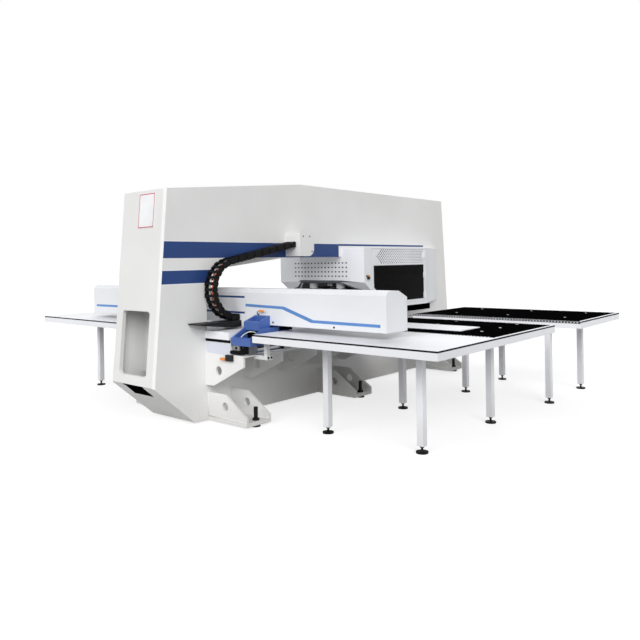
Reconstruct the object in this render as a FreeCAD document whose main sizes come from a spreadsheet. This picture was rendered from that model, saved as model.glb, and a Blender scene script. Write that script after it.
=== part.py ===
"""CNC turret punch press: closed frame, twin turrets, gantry beam with sheet clamps, brush tables.

Millimetres, +Z up. X runs along the gantry beam, with +X on the side of the cable chain. Y runs from
the closed back end of the frame (-Y) to its turret end (+Y). The origin is on the floor, under the
centre of the frame.
"""
import FreeCAD, Part
import Sketcher
import math
import os

os.makedirs("parts", exist_ok=True)

doc = FreeCAD.newDocument("turret_punch_press")
sheet = doc.addObject("Spreadsheet::Sheet", "sizes")


# ---------------------------------------------------------------- sizes and their arithmetic

class Size:
    """A length with its value and the sheet expression that gives it."""

    def __init__(self, value, text):
        self.value = value
        self.text = text

    def _join(self, other, sign, value, swap=False):
        right = other.text if isinstance(other, Size) else repr(other)
        left, right = (right, self.text) if swap else (self.text, right)
        return Size(value, f"({left} {sign} {right})")

    def __add__(self, other):
        return self._join(other, "+", self.value + number(other))

    def __radd__(self, other):
        return self._join(other, "+", number(other) + self.value, swap=True)

    def __sub__(self, other):
        return self._join(other, "-", self.value - number(other))

    def __rsub__(self, other):
        return self._join(other, "-", number(other) - self.value, swap=True)

    def __mul__(self, other):
        return self._join(other, "*", self.value * number(other))

    def __rmul__(self, other):
        return self._join(other, "*", number(other) * self.value, swap=True)

    def __truediv__(self, other):
        return self._join(other, "/", self.value / number(other))

    def __neg__(self):
        return Size(-self.value, f"(-1 * {self.text})")


def number(value):
    """The plain value of a Size or a number."""
    return value.value if isinstance(value, Size) else float(value)


def expression(value):
    """The text that a property is bound to."""
    return value.text if isinstance(value, Size) else repr(float(value))


rows_used = 0


def size(name, value):
    """Write a driving size in the sheet and return it."""
    global rows_used
    rows_used += 1
    sheet.set(f"A{rows_used}", name)
    sheet.set(f"B{rows_used}", str(value))
    sheet.setAlias(f"B{rows_used}", name)
    return Size(float(value), f"sizes.{name}")


# frame
frame_length = size("frame_length", 5490)
frame_width = size("frame_width", 712)
end_lean = size("end_lean", 170)
crest_run = size("crest_run", 1900)
frame_height = size("frame_height", 2505)
crest_rise = size("crest_rise", 185)
corner_height = size("corner_height", 430)
chamfer_run = size("chamfer_run", 480)
floor_gap = size("floor_gap", 20)
frame_wall = size("frame_wall", 40)
edge_chamfer = size("edge_chamfer", 22)
side_wall = size("side_wall", 30)
throat_back = size("throat_back", 480)
throat_front = size("throat_front", 4100)
throat_top = size("throat_top", 1650)
throat_floor = size("throat_floor", 800)
throat_back_top = size("throat_back_top", 1400)
haunch_low_run = size("haunch_low_run", 210)
haunch_low_rise = size("haunch_low_rise", 145)
haunch_run = size("haunch_run", 1170)
slot_set_back = size("slot_set_back", 380)
slot_bottom = size("slot_bottom", 862)
slot_height = size("slot_height", 84)
window_width = size("window_width", 460)
window_bottom = size("window_bottom", 520)
window_height = size("window_height", 620)
window_corner = size("window_corner", 35)
web_set_back = size("web_set_back", 200)
web_thickness = size("web_thickness", 20)
hatch_width = size("hatch_width", 320)
hatch_share = size("hatch_share", 0.3)

# frame feet
foot_first = size("foot_first", 480)
foot_second = size("foot_second", 2160)
foot_third = size("foot_third", 4360)
foot_depth = size("foot_depth", 320)
foot_reach = size("foot_reach", 570)
foot_base_thickness = size("foot_base_thickness", 40)
foot_plate_thickness = size("foot_plate_thickness", 30)
foot_plate_height = size("foot_plate_height", 240)
foot_plate_top_run = size("foot_plate_top_run", 260)
foot_hole_radius = size("foot_hole_radius", 42)
jack_bolt_radius = size("jack_bolt_radius", 20)
jack_nut_radius = size("jack_nut_radius", 36)
jack_pad_radius = size("jack_pad_radius", 45)
jack_pad_height = size("jack_pad_height", 20)
jack_bolt_top = size("jack_bolt_top", 190)
jack_nut_height = size("jack_nut_height", 20)
bolt_gap = size("bolt_gap", 0.3)

# tables
table_height = size("table_height", 920)
table_depth = size("table_depth", 75)
table_skin = size("table_skin", 15)
table_rim = size("table_rim", 20)
table_inner = size("table_inner", 1050)
table_outer = size("table_outer", 3030)
table_back = size("table_back", 450)
table_front = size("table_front", 2730)
plain_depth = size("plain_depth", 990)
inset_back = size("inset_back", 1770)
inset_front = size("inset_front", 2200)
inset_outer = size("inset_outer", 2480)
front_table_back = size("front_table_back", 3210)
front_table_front = size("front_table_front", 4550)
front_table_outer = size("front_table_outer", 3120)
centre_table_half = size("centre_table_half", 720)
centre_table_front = size("centre_table_front", 2745)
brush_border = size("brush_border", 12)
brush_recess = size("brush_recess", 10)
brush_height = size("brush_height", 12)
brush_groove = size("brush_groove", 4)
brush_pitch = size("brush_pitch", 60)
leg_side = size("leg_side", 60)
leg_outer = size("leg_outer", 2615)
leg_spacing = size("leg_spacing", 1015)
far_leg_outer = size("far_leg_outer", 2360)
leg_back = size("leg_back", 880)
leg_front = size("leg_front", 2130)
front_leg_outer = size("front_leg_outer", 2735)
front_leg_back = size("front_leg_back", 3310)
front_leg_front = size("front_leg_front", 4310)
foot_disc_radius = size("foot_disc_radius", 52)
foot_disc_height = size("foot_disc_height", 15)
foot_rod_radius = size("foot_rod_radius", 10)
foot_nut_radius = size("foot_nut_radius", 19)
foot_nut_height = size("foot_nut_height", 14)
leg_foot_gap = size("leg_foot_gap", 60)

# gantry guides
guide_back = size("guide_back", 460)
guide_length = size("guide_length", 2270)
guide_box_outer = size("guide_box_outer", 730)
guide_box_wall = size("guide_box_wall", 15)
guide_box_top = size("guide_box_top", 832)
ledge_top = size("ledge_top", 705)
ledge_thickness = size("ledge_thickness", 15)
ledge_outer = size("ledge_outer", 925)
gusset_thickness = size("gusset_thickness", 25)
gusset_pitch = size("gusset_pitch", 520)
gusset_count = size("gusset_count", 5)
gusset_tip_depth = size("gusset_tip_depth", 95)
gusset_root_depth = size("gusset_root_depth", 315)
gusset_root_run = size("gusset_root_run", 115)
gusset_hole_radius = size("gusset_hole_radius", 45)
arm_back = size("arm_back", 600)
arm_front = size("arm_front", 2200)
arm_depth = size("arm_depth", 80)
post_side = size("post_side", 40)
rail_centre = size("rail_centre", 885)
rail_width = size("rail_width", 60)
rail_height = size("rail_height", 55)
block_width = size("block_width", 140)
block_length = size("block_length", 110)
slide_gap = size("slide_gap", 0.3)
front_gusset_back = size("front_gusset_back", 3500)
front_gusset_front = size("front_gusset_front", 4250)

# gantry beam
beam_back = size("beam_back", 786)
cover_depth = size("cover_depth", 320)
cover_half_length = size("cover_half_length", 2343)
cover_bottom = size("cover_bottom", 976)
cover_top = size("cover_top", 1332)
cover_sheet = size("cover_sheet", 12)
cover_back_bevel = size("cover_back_bevel", 40)
cover_front_bevel = size("cover_front_bevel", 60)
cover_bevel_run = size("cover_bevel_run", 130)
cover_lip = size("cover_lip", 70)
cover_seam = size("cover_seam", 593)
seam_gap = size("seam_gap", 3)
beam_depth = size("beam_depth", 170)
beam_inset = size("beam_inset", 44)
beam_bottom = size("beam_bottom", 1010)
beam_top = size("beam_top", 1280)
beam_wall = size("beam_wall", 16)
saddle_inner = size("saddle_inner", 740)
saddle_outer = size("saddle_outer", 1010)
saddle_back = size("saddle_back", 460)
saddle_front = size("saddle_front", 1120)
saddle_bottom = size("saddle_bottom", 800)
saddle_plate = size("saddle_plate", 35)
saddle_lip_top = size("saddle_lip_top", 870)
saddle_step = size("saddle_step", 630)
saddle_step_top = size("saddle_step_top", 1015)
saddle_box_top = size("saddle_box_top", 1070)
saddle_box_outer = size("saddle_box_outer", 950)
saddle_wall = size("saddle_wall", 22)
saddle_wing_outer = size("saddle_wing_outer", 1270)
x_rail_depth = size("x_rail_depth", 22)
x_rail_height = size("x_rail_height", 34)
x_rail_low = size("x_rail_low", 1050)
x_rail_high = size("x_rail_high", 1200)

# carriage and clamps
carriage_half = size("carriage_half", 950)
carriage_depth = size("carriage_depth", 30)
carriage_bottom = size("carriage_bottom", 1010)
carriage_top = size("carriage_top", 1262)
clamp_spacing = size("clamp_spacing", 750)
clamp_width = size("clamp_width", 110)
clamp_upright = size("clamp_upright", 60)
clamp_reach = size("clamp_reach", 172)
clamp_top = size("clamp_top", 1110)
jaw_clearance = size("jaw_clearance", 5)
jaw_plate = size("jaw_plate", 14)
jaw_gap = size("jaw_gap", 7)
jaw_width = size("jaw_width", 58)
jaw_pivot_run = size("jaw_pivot_run", 80)
jaw_pivot_height = size("jaw_pivot_height", 1030)
jaw_boss_radius = size("jaw_boss_radius", 15)
jaw_back_reach = size("jaw_back_reach", 12)
pin_radius = size("pin_radius", 9)
pin_gap = size("pin_gap", 0.05)

# turrets, ram and sheet holders
turret_run = size("turret_run", 3400)
turret_radius = size("turret_radius", 620)
station_radius = size("station_radius", 530)
punch_radius = size("punch_radius", 42)
upper_turret_bottom = size("upper_turret_bottom", 1020)
upper_turret_thickness = size("upper_turret_thickness", 120)
lower_turret_bottom = size("lower_turret_bottom", 815)
lower_turret_thickness = size("lower_turret_thickness", 60)
turret_shaft_radius = size("turret_shaft_radius", 70)
hub_radius = size("hub_radius", 130)
hub_flange_radius = size("hub_flange_radius", 200)
hub_flange = size("hub_flange", 12)
punch_head_top = size("punch_head_top", 1240)
ram_radius = size("ram_radius", 45)
ram_cylinder_radius = size("ram_cylinder_radius", 95)
ram_flange_radius = size("ram_flange_radius", 125)
ram_cylinder_bottom = size("ram_cylinder_bottom", 1330)
ram_stroke = size("ram_stroke", 30)
ram_gap = size("ram_gap", 0.5)
holder_offset = size("holder_offset", 230)
holder_set_back = size("holder_set_back", 85)
holder_radius = size("holder_radius", 55)
holder_rod_radius = size("holder_rod_radius", 24)
holder_bottom = size("holder_bottom", 1245)
holder_foot_height = size("holder_foot_height", 965)
holder_foot_radius = size("holder_foot_radius", 40)
holder_foot_thickness = size("holder_foot_thickness", 20)

# turret guard
guard_back = size("guard_back", 2650)
guard_half_width = size("guard_half_width", 715)
guard_side_front = size("guard_side_front", 4080)
guard_front = size("guard_front", 4970)
guard_top = size("guard_top", 1765)
guard_bottom = size("guard_bottom", 990)
guard_sheet = size("guard_sheet", 15)
guard_back_bottom = size("guard_back_bottom", 1330)
guard_bevel_run = size("guard_bevel_run", 470)
bevel_sheet = size("bevel_sheet", 18.6)
taper_sheet = size("taper_sheet", 40)
bevel_margin = size("bevel_margin", 15)
guard_mouth_half = size("guard_mouth_half", 610)
guard_mouth_top = size("guard_mouth_top", 1317)
guard_mouth_crown = size("guard_mouth_crown", 335)
guard_mouth_side = size("guard_mouth_side", 1205)
guard_mouth_shoulder = size("guard_mouth_shoulder", 480)
guard_shoulder_rise = size("guard_shoulder_rise", 30)
vent_count = size("vent_count", 16)
vent_pitch = size("vent_pitch", 58)
vent_length = size("vent_length", 16)
vent_height = size("vent_height", 12)
vent_row_pitch = size("vent_row_pitch", 56)
vent_low_row = size("vent_low_row", 1400)
door_back = size("door_back", 2810)
door_front = size("door_front", 4050)
door_bottom = size("door_bottom", 1030)
door_top = size("door_top", 1745)
door_gap = size("door_gap", 2)
pane_back = size("pane_back", 2850)
pane_front = size("pane_front", 4020)
pane_bottom = size("pane_bottom", 1065)
pane_top = size("pane_top", 1535)
pane_thickness = size("pane_thickness", 5)
pane_inset = size("pane_inset", 3)
hinge_radius = size("hinge_radius", 8)

# cable chain and small parts
chain_centre = size("chain_centre", 450)
chain_width = size("chain_width", 140)
chain_height = size("chain_height", 64)
chain_radius = size("chain_radius", 290)
chain_slope = size("chain_slope", 11)
chain_low = size("chain_low", 1040)
chain_turn = size("chain_turn", 754)
chain_links = size("chain_links", 32)
chain_plate = size("chain_plate", 7)
chain_bar = size("chain_bar", 8)
chain_bar_length = size("chain_bar_length", 25)
chain_corner = size("chain_corner", 19)
landing_gap = size("landing_gap", 1)
cable_radius = size("cable_radius", 9)
cable_spacing = size("cable_spacing", 44)
chain_box_back = size("chain_box_back", 1640)
chain_box_length = size("chain_box_length", 240)
chain_box_outer = size("chain_box_outer", 580)
chain_box_bottom = size("chain_box_bottom", 1660)
chain_box_top = size("chain_box_top", 1925)
chain_box_corner = size("chain_box_corner", 90)
tray_back = size("tray_back", 240)
tray_width = size("tray_width", 170)
tray_depth = size("tray_depth", 66)
tray_tip = size("tray_tip", 14)
plate_width = size("plate_width", 260)
plate_shift = size("plate_shift", 75)
plate_drop = size("plate_drop", 30)
plate_height = size("plate_height", 340)
plate_thickness = size("plate_thickness", 3)
lock_width = size("lock_width", 34)
lock_depth = size("lock_depth", 24)
lock_height = size("lock_height", 1365)
lock_tab_width = size("lock_tab_width", 68)
lock_tab_height = size("lock_tab_height", 19)
strap_depth = size("strap_depth", 8)
switch_length = size("switch_length", 90)
switch_height = size("switch_height", 60)
switch_depth = size("switch_depth", 30)
switch_reach = size("switch_reach", 45)
lever_length = size("lever_length", 75)

STATIONS = 16
VENT_ROWS = 4

doc.recompute()

half_width = frame_width / 2
back_height = frame_height - crest_rise
back_y = -frame_length / 2 + end_lean
arm_outer = table_inner + post_side
front_y = frame_length / 2 - end_lean
slot_end_y = front_y - slot_set_back


def along(run):
    """Y of a run measured from the frame's back top edge."""
    return back_y + run


# ---------------------------------------------------------------- building tools

pieces = []


def finish(item, name):
    """Name an object as one finished piece."""
    item.Label = name
    pieces.append(item)
    return item


def rectangle(x0, y0, x1, y1):
    return [(x0, y0), (x1, y0), (x1, y1), (x0, y1)]


def mirrored(points):
    """The same outline on the far side of the sketch's vertical axis."""
    return [(-x, y) for x, y in reversed(points)]


def circle(x, y, radius):
    return (x, y, radius)


class Body:
    """A PartDesign body built from bound sketches, pads, pockets, fillets and patterns."""

    roles = {"XY": "XY_Plane", "XZ": "XZ_Plane", "YZ": "YZ_Plane"}

    def __init__(self, name):
        self.name = name
        self.body = doc.addObject("PartDesign::Body", name + "_body")
        self.count = 0

    def origin(self, role):
        for item in self.body.Origin.OriginFeatures:
            if item.Role == role:
                return item
        raise ValueError(role)

    def sketch(self, plane, loops, offset):
        self.count += 1
        sketch = self.body.newObject("Sketcher::SketchObject", f"{self.name}_sketch_{self.count}")
        sketch.AttachmentSupport = [(self.origin(self.roles[plane]), "")]
        sketch.MapMode = "FlatFace"
        sketch.setExpression(".AttachmentOffset.Base.z", expression(offset))
        bound = []
        for loop in loops:
            if isinstance(loop, tuple):
                bound += self.add_circle(sketch, loop)
            else:
                bound += self.add_outline(sketch, loop)
        for index, value in bound:
            sketch.setExpression(f"Constraints[{index}]", expression(value))
        return sketch

    def add_outline(self, sketch, points):
        first = sketch.GeometryCount
        corners = [FreeCAD.Vector(number(x), number(y), 0) for x, y in points]
        last = len(corners) - 1
        lines = [Part.LineSegment(corners[i], corners[(i + 1) % len(corners)]) for i in range(len(corners))]
        sketch.addGeometry(lines, False)
        joints = []
        for i in range(len(corners)):
            following = first if i == last else first + i + 1
            joints.append(Sketcher.Constraint("Coincident", first + i, 2, following, 1))
        sketch.addConstraint(joints)
        bound = []
        for i, (x, y) in enumerate(points):
            for kind, value in (("DistanceX", x), ("DistanceY", y)):
                index = sketch.addConstraint(Sketcher.Constraint(kind, -1, 1, first + i, 1, number(value)))
                bound.append((index, value))
        return bound

    def add_circle(self, sketch, spec):
        x, y, radius = spec
        first = sketch.GeometryCount
        centre = FreeCAD.Vector(number(x), number(y), 0)
        sketch.addGeometry(Part.Circle(centre, FreeCAD.Vector(0, 0, 1), number(radius)), False)
        bound = []
        for kind, value in (("DistanceX", x), ("DistanceY", y)):
            index = sketch.addConstraint(Sketcher.Constraint(kind, -1, 1, first, 3, number(value)))
            bound.append((index, value))
        index = sketch.addConstraint(Sketcher.Constraint("Radius", first, number(radius)))
        bound.append((index, radius))
        return bound

    def pad(self, plane, loops, start, end):
        """Add the loops' area from start to end along the plane's world axis."""
        offset = -end if plane == "XZ" else start
        sketch = self.sketch(plane, loops, offset)
        feature = self.body.newObject("PartDesign::Pad", f"{self.name}_pad_{self.count}")
        feature.Profile = sketch
        feature.setExpression("Length", expression(end - start))
        sketch.Visibility = False
        return feature

    def pocket(self, plane, loops, start, end):
        """Remove the loops' area from start to end along the plane's world axis."""
        offset = -start if plane == "XZ" else end
        sketch = self.sketch(plane, loops, offset)
        feature = self.body.newObject("PartDesign::Pocket", f"{self.name}_pocket_{self.count}")
        feature.Profile = sketch
        feature.setExpression("Length", expression(end - start))
        sketch.Visibility = False
        return feature

    def repeat(self, features, axis, pitch, count):
        """Repeat features along a body axis, count copies in all, pitch apart."""
        pattern = self.body.newObject("PartDesign::LinearPattern", f"{self.name}_row_{self.count}")
        pattern.Originals = features
        pattern.Direction = (self.origin(axis + "_Axis"), [""])
        pattern.setExpression("Length", expression(pitch * (count - 1)))
        pattern.setExpression("Occurrences", expression(count))
        self.body.Tip = pattern
        return pattern

    def dress(self, kind, value_name, value, chosen):
        """Fillet or chamfer the edges that chosen(edge) picks on the body so far."""
        doc.recompute()
        base = self.body.Tip
        edges = [f"Edge{i + 1}" for i, edge in enumerate(base.Shape.Edges) if chosen(edge)]
        self.count += 1
        feature = self.body.newObject("PartDesign::" + kind, f"{self.name}_{kind.lower()}_{self.count}")
        feature.Base = (base, edges)
        feature.setExpression(value_name, expression(value))
        return feature

    def fillet(self, radius, chosen):
        return self.dress("Fillet", "Radius", radius, chosen)

    def chamfer(self, side, chosen):
        return self.dress("Chamfer", "Size", side, chosen)

    def done(self):
        return finish(self.body, self.name)


def place(item, x, y, z):
    item.setExpression(".Placement.Base.x", expression(x))
    item.setExpression(".Placement.Base.y", expression(y))
    item.setExpression(".Placement.Base.z", expression(z))


def block(name, x0, x1, y0, y1, z0, z1):
    """A box between the given faces."""
    item = doc.addObject("Part::Box", name)
    item.setExpression("Length", expression(x1 - x0))
    item.setExpression("Width", expression(y1 - y0))
    item.setExpression("Height", expression(z1 - z0))
    place(item, x0, y0, z0)
    return item


def post(name, x, y, radius, z0, z1):
    """An upright cylinder."""
    item = doc.addObject("Part::Cylinder", name)
    item.setExpression("Radius", expression(radius))
    item.setExpression("Height", expression(z1 - z0))
    place(item, x, y, z0)
    return item


def cross_rod(name, x0, x1, y, z, radius):
    """A cylinder along X."""
    item = doc.addObject("Part::Cylinder", name)
    item.Placement = FreeCAD.Placement(FreeCAD.Vector(), FreeCAD.Rotation(FreeCAD.Vector(0, 1, 0), 90))
    item.setExpression("Radius", expression(radius))
    item.setExpression("Height", expression(x1 - x0))
    place(item, x0, y, z)
    return item


def join(name, parts):
    """Parts welded or made as one."""
    item = doc.addObject("Part::MultiFuse", name)
    item.Shapes = parts
    return item


def cut(name, base, tool):
    item = doc.addObject("Part::Cut", name)
    item.Base = base
    item.Tool = tool
    return item


def group(name, parts):
    """Like pieces that share one node."""
    item = doc.addObject("Part::Compound", name)
    item.Links = parts
    return item


def polar(x, y, radius, degrees):
    """A point at an angle round a centre."""
    across = math.cos(math.radians(degrees))
    ahead = math.sin(math.radians(degrees))
    return (x + Size(number(radius) * across, f"({expression(radius)} * cos({degrees}))"),
            y + Size(number(radius) * ahead, f"({expression(radius)} * sin({degrees}))"))


# ---------------------------------------------------------------- main frame

def main_frame():
    """Welded closed frame: hollow walls round the throat, with bolt-down feet along both sides."""
    end_y = frame_length / 2
    chamfer_y = end_y - chamfer_run
    frame = Body("main_frame")
    frame.pad("YZ", [[(back_y, back_height), (back_y + crest_run, frame_height), (front_y, frame_height),
                      (end_y, corner_height), (chamfer_y, floor_gap), (-chamfer_y, floor_gap),
                      (-end_y, corner_height)]], -half_width, half_width)
    frame.chamfer(edge_chamfer, lambda edge: edge.Length > number(back_height - corner_height) - 1
                  and edge.CenterOfMass.y < number(back_y))

    slot_top = slot_bottom + slot_height
    haunch_low = throat_back_top + haunch_low_rise
    throat = [(along(throat_back), throat_floor), (along(throat_back), throat_back_top),
              (along(throat_back + haunch_low_run), haunch_low),
              (along(throat_back + haunch_run), throat_top), (along(throat_front), throat_top),
              (along(throat_front), slot_top), (slot_end_y, slot_top),
              (slot_end_y, slot_bottom), (along(throat_front), slot_bottom),
              (along(throat_front), throat_floor)]
    frame.pocket("YZ", [throat], -half_width, half_width)

    wall = frame_wall
    outer = [(back_y + wall, back_height - wall), (back_y + crest_run, frame_height - wall),
             (front_y - wall, frame_height - wall), (end_y - wall, corner_height),
             (chamfer_y - wall / 2, floor_gap + wall), (wall / 2 - chamfer_y, floor_gap + wall),
             (wall - end_y, corner_height)]
    inner = [(along(throat_back) - wall, throat_floor - wall), (along(throat_back) - wall, throat_back_top),
             (along(throat_back + haunch_low_run) - wall, haunch_low + wall),
             (along(throat_back + haunch_run) - wall, throat_top + wall),
             (along(throat_front) + wall, throat_top + wall), (along(throat_front) + wall, slot_top + wall),
             (slot_end_y + wall, slot_top + wall), (slot_end_y + wall, slot_bottom - wall),
             (along(throat_front) + wall, slot_bottom - wall),
             (along(throat_front) + wall, throat_floor - wall)]
    web = rectangle(along(web_set_back), window_bottom - wall,
                    along(web_set_back + web_thickness), window_bottom + window_height + wall)
    frame.pocket("YZ", [outer, inner, web], side_wall - half_width, half_width - side_wall)

    frame.pocket("XZ", [rectangle(-window_width / 2, window_bottom, window_width / 2,
                                  window_bottom + window_height)], -end_y, back_y + wall + end_lean / 2)
    corner = number(window_width) / 2
    frame.fillet(window_corner, lambda edge: abs(abs(edge.CenterOfMass.x) - corner) < 1
                 and number(window_bottom) - 1 < edge.CenterOfMass.z < number(window_bottom + window_height) + 1
                 and edge.CenterOfMass.y < number(back_y) + 100 and edge.Length < 4 * number(frame_wall)
                 and abs(edge.Vertexes[0].Z - edge.Vertexes[-1].Z) < 1)

    hatch_y = -end_y + chamfer_run * hatch_share
    frame.pocket("XY", [rectangle(-hatch_width / 2, wall / 2 - end_y, hatch_width / 2, hatch_y)],
                 floor_gap, corner_height - wall / 2)
    frame.pocket("XY", [circle_at_turret(hub_radius + bolt_gap)], throat_floor - wall * 2, throat_floor)

    upright = [(half_width, floor_gap + foot_base_thickness),
               (half_width + foot_reach, floor_gap + foot_base_thickness),
               (half_width + foot_reach, floor_gap + foot_base_thickness * 2),
               (half_width + foot_plate_top_run, floor_gap + foot_base_thickness + foot_plate_height),
               (half_width, floor_gap + foot_base_thickness + foot_plate_height)]
    hole_x = half_width + foot_plate_top_run
    hole_z = floor_gap + foot_base_thickness + foot_plate_height / 2
    for start in (foot_first, foot_second, foot_third):
        base = rectangle(half_width, floor_gap, half_width + foot_reach, floor_gap + foot_base_thickness)
        frame.pad("XZ", [base, mirrored(base)], along(start), along(start + foot_depth))
        for side in (start, start + foot_depth - foot_plate_thickness):
            frame.pad("XZ", [upright, mirrored(upright), circle(hole_x, hole_z, foot_hole_radius),
                             circle(-hole_x, hole_z, foot_hole_radius)],
                      along(side), along(side + foot_plate_thickness))
    spots = [circle(side * (half_width + foot_reach - jack_pad_radius), along(start + foot_depth / 2),
                    jack_bolt_radius + bolt_gap)
             for start in (foot_first, foot_second, foot_third) for side in (1, -1)]
    frame.pocket("XY", spots, floor_gap, floor_gap + foot_base_thickness)
    return frame.done()


def circle_at_turret(radius):
    return circle(0.0, along(turret_run), radius)


def levelling_bolts():
    """Jacking bolts through the feet, each with its pad on the floor and its lock nut."""
    bolts = []
    spot = 0
    for start in (foot_first, foot_second, foot_third):
        for side in (1, -1):
            spot += 1
            x = side * (half_width + foot_reach - jack_pad_radius)
            y = along(start + foot_depth / 2)
            pad = post(f"jack_pad_{spot}", x, y, jack_pad_radius, 0.0, jack_pad_height)
            bolt = post(f"jack_bolt_{spot}", x, y, jack_bolt_radius, 0.0, jack_bolt_top)
            nut = doc.addObject("Part::Prism", f"jack_nut_{spot}")
            nut.Polygon = 6
            nut.setExpression("Circumradius", expression(jack_nut_radius))
            nut.setExpression("Height", expression(jack_nut_height))
            place(nut, x, y, floor_gap + foot_base_thickness)
            bolts.append(join(f"jack_{spot}", [pad, bolt, nut]))
    return finish(group("jacks", bolts), "levelling_bolts")


# ---------------------------------------------------------------- tables

def table(name, x_side, outer_x, back, front, leg_xs, leg_ys):
    """A folded table tray on welded legs, with recesses for the brush fields."""
    top = Body(name)
    inner, outer = (table_inner, outer_x) if x_side > 0 else (-outer_x, -table_inner)
    under = table_height - table_depth
    top.pad("XY", [rectangle(inner, along(back), outer, along(front))], under, table_height)
    top.pocket("XY", [rectangle(inner + table_rim, along(back + table_rim), outer - table_rim,
                                along(front - table_rim))], under, table_height - table_skin)
    top.pocket("XY", [brush_outline(x_side, outer_x, back, front)], table_height - brush_recess, table_height)
    for leg_x in leg_xs:
        for leg_y in leg_ys:
            half = leg_side / 2
            top.pad("XY", [rectangle(leg_x - half, along(leg_y) - half, leg_x + half, along(leg_y) + half)],
                    leg_foot_gap, table_height - table_skin)
    return top.done()


def brush_outline(x_side, outer_x, back, front):
    """Edge of a brush field: the front part of a side table round its plain inset, or a whole table."""
    near, far = table_inner + brush_border, outer_x - brush_border
    if back is table_back:
        start = along(back + plain_depth)
        end = along(front - brush_border)
        points = [(near, start), (far, start), (far, end), (near, end), (near, along(inset_front)),
                  (inset_outer, along(inset_front)), (inset_outer, along(inset_back)),
                  (near, along(inset_back))]
    else:
        points = rectangle(near, along(back + brush_border), far, along(front - brush_border))
    return points if x_side > 0 else mirrored(points)


def brushes(name, x_side, outer_x, back, front):
    """A brush field: a base with rows of bristle strips that stand level with the table."""
    field = Body(name)
    outline = brush_outline(x_side, outer_x, back, front)
    base = table_height - brush_recess
    top = base + brush_height
    field.pad("XY", [outline], base, top)
    start = table_inner + brush_border + brush_pitch
    groove = rectangle(start, along(back), start + brush_groove, along(front))
    if x_side < 0:
        groove = rectangle(-outer_x + brush_border + brush_pitch, along(back),
                           -outer_x + brush_border + brush_pitch + brush_groove, along(front))
    row = field.pocket("XY", [groove], top - brush_groove, top)
    count = Size(math.floor((number(outer_x) - number(table_inner)) / number(brush_pitch)) - 1,
                 f"(floor(({expression(outer_x)} - {expression(table_inner)}) / {expression(brush_pitch)}) - 1)")
    field.repeat([row], "X", brush_pitch, count)
    return field.done()


def centre_table():
    """The plate between the two guides, notched round the frame, on two runners a side."""
    plate = Body("centre_table")
    under = table_height - table_depth
    back, front = along(table_back), along(centre_table_front)
    notch_x, notch_y = half_width + bolt_gap, along(throat_back) + bolt_gap
    plate.pad("XY", [[(-centre_table_half, back), (-notch_x, back), (-notch_x, notch_y), (notch_x, notch_y),
                      (notch_x, back), (centre_table_half, back), (centre_table_half, front),
                      (-centre_table_half, front)]], under, table_height)
    plate.pocket("XY", [rectangle(table_rim - centre_table_half, along(table_back + table_rim),
                                  centre_table_half - table_rim, along(centre_table_front - table_rim))],
                 under, table_height - table_skin)
    for low_x in (half_width + post_side, guide_box_outer - post_side * 2):
        runner = rectangle(low_x, guide_box_top, low_x + post_side, table_height - table_skin)
        plate.pad("XZ", [runner, mirrored(runner)], along(table_back + table_rim),
                  along(centre_table_front - table_rim))
    return plate.done()


def table_feet(spots):
    """Screw feet under the table legs, each with its disc and lock nut."""
    feet = []
    for index, (x, y) in enumerate(spots):
        disc = post(f"table_foot_disc_{index}", x, along(y), foot_disc_radius, 0.0, foot_disc_height)
        nut = doc.addObject("Part::Prism", f"table_foot_nut_{index}")
        nut.Polygon = 6
        nut.setExpression("Circumradius", expression(foot_nut_radius))
        nut.setExpression("Height", expression(foot_nut_height))
        place(nut, x, along(y), leg_foot_gap - foot_nut_height)
        rod = post(f"table_foot_rod_{index}", x, along(y), foot_rod_radius, foot_disc_height, leg_foot_gap)
        feet.append(join(f"table_foot_{index}", [disc, nut, rod]))
    return finish(group("feet", feet), "table_feet")


def all_tables():
    near_x = (leg_outer, leg_outer - leg_spacing)
    far_x = (-far_leg_outer, leg_spacing - far_leg_outer)
    front_x = (front_leg_outer, front_leg_outer - leg_spacing)
    far_front_x = tuple(-x for x in front_x)
    side_y = (leg_back, leg_front)
    front_legs_y = (front_leg_back, front_leg_front)
    table("near_table", 1, table_outer, table_back, table_front, near_x, side_y)
    table("far_table", -1, table_outer, table_back, table_front, far_x, side_y)
    table("near_front_table", 1, front_table_outer, front_table_back, front_table_front, front_x, front_legs_y)
    table("far_front_table", -1, front_table_outer, front_table_back, front_table_front, far_front_x,
          front_legs_y)
    brushes("near_brushes", 1, table_outer, table_back, table_front)
    brushes("far_brushes", -1, table_outer, table_back, table_front)
    brushes("near_front_brushes", 1, front_table_outer, front_table_back, front_table_front)
    brushes("far_front_brushes", -1, front_table_outer, front_table_back, front_table_front)
    centre_table()
    spots = [(x, y) for xs, ys in ((near_x, side_y), (far_x, side_y), (front_x, front_legs_y),
                                   (far_front_x, front_legs_y)) for x in xs for y in ys]
    table_feet(spots)


# ---------------------------------------------------------------- gantry guides

def sided(points, x_side):
    return points if x_side > 0 else mirrored(points)


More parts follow.
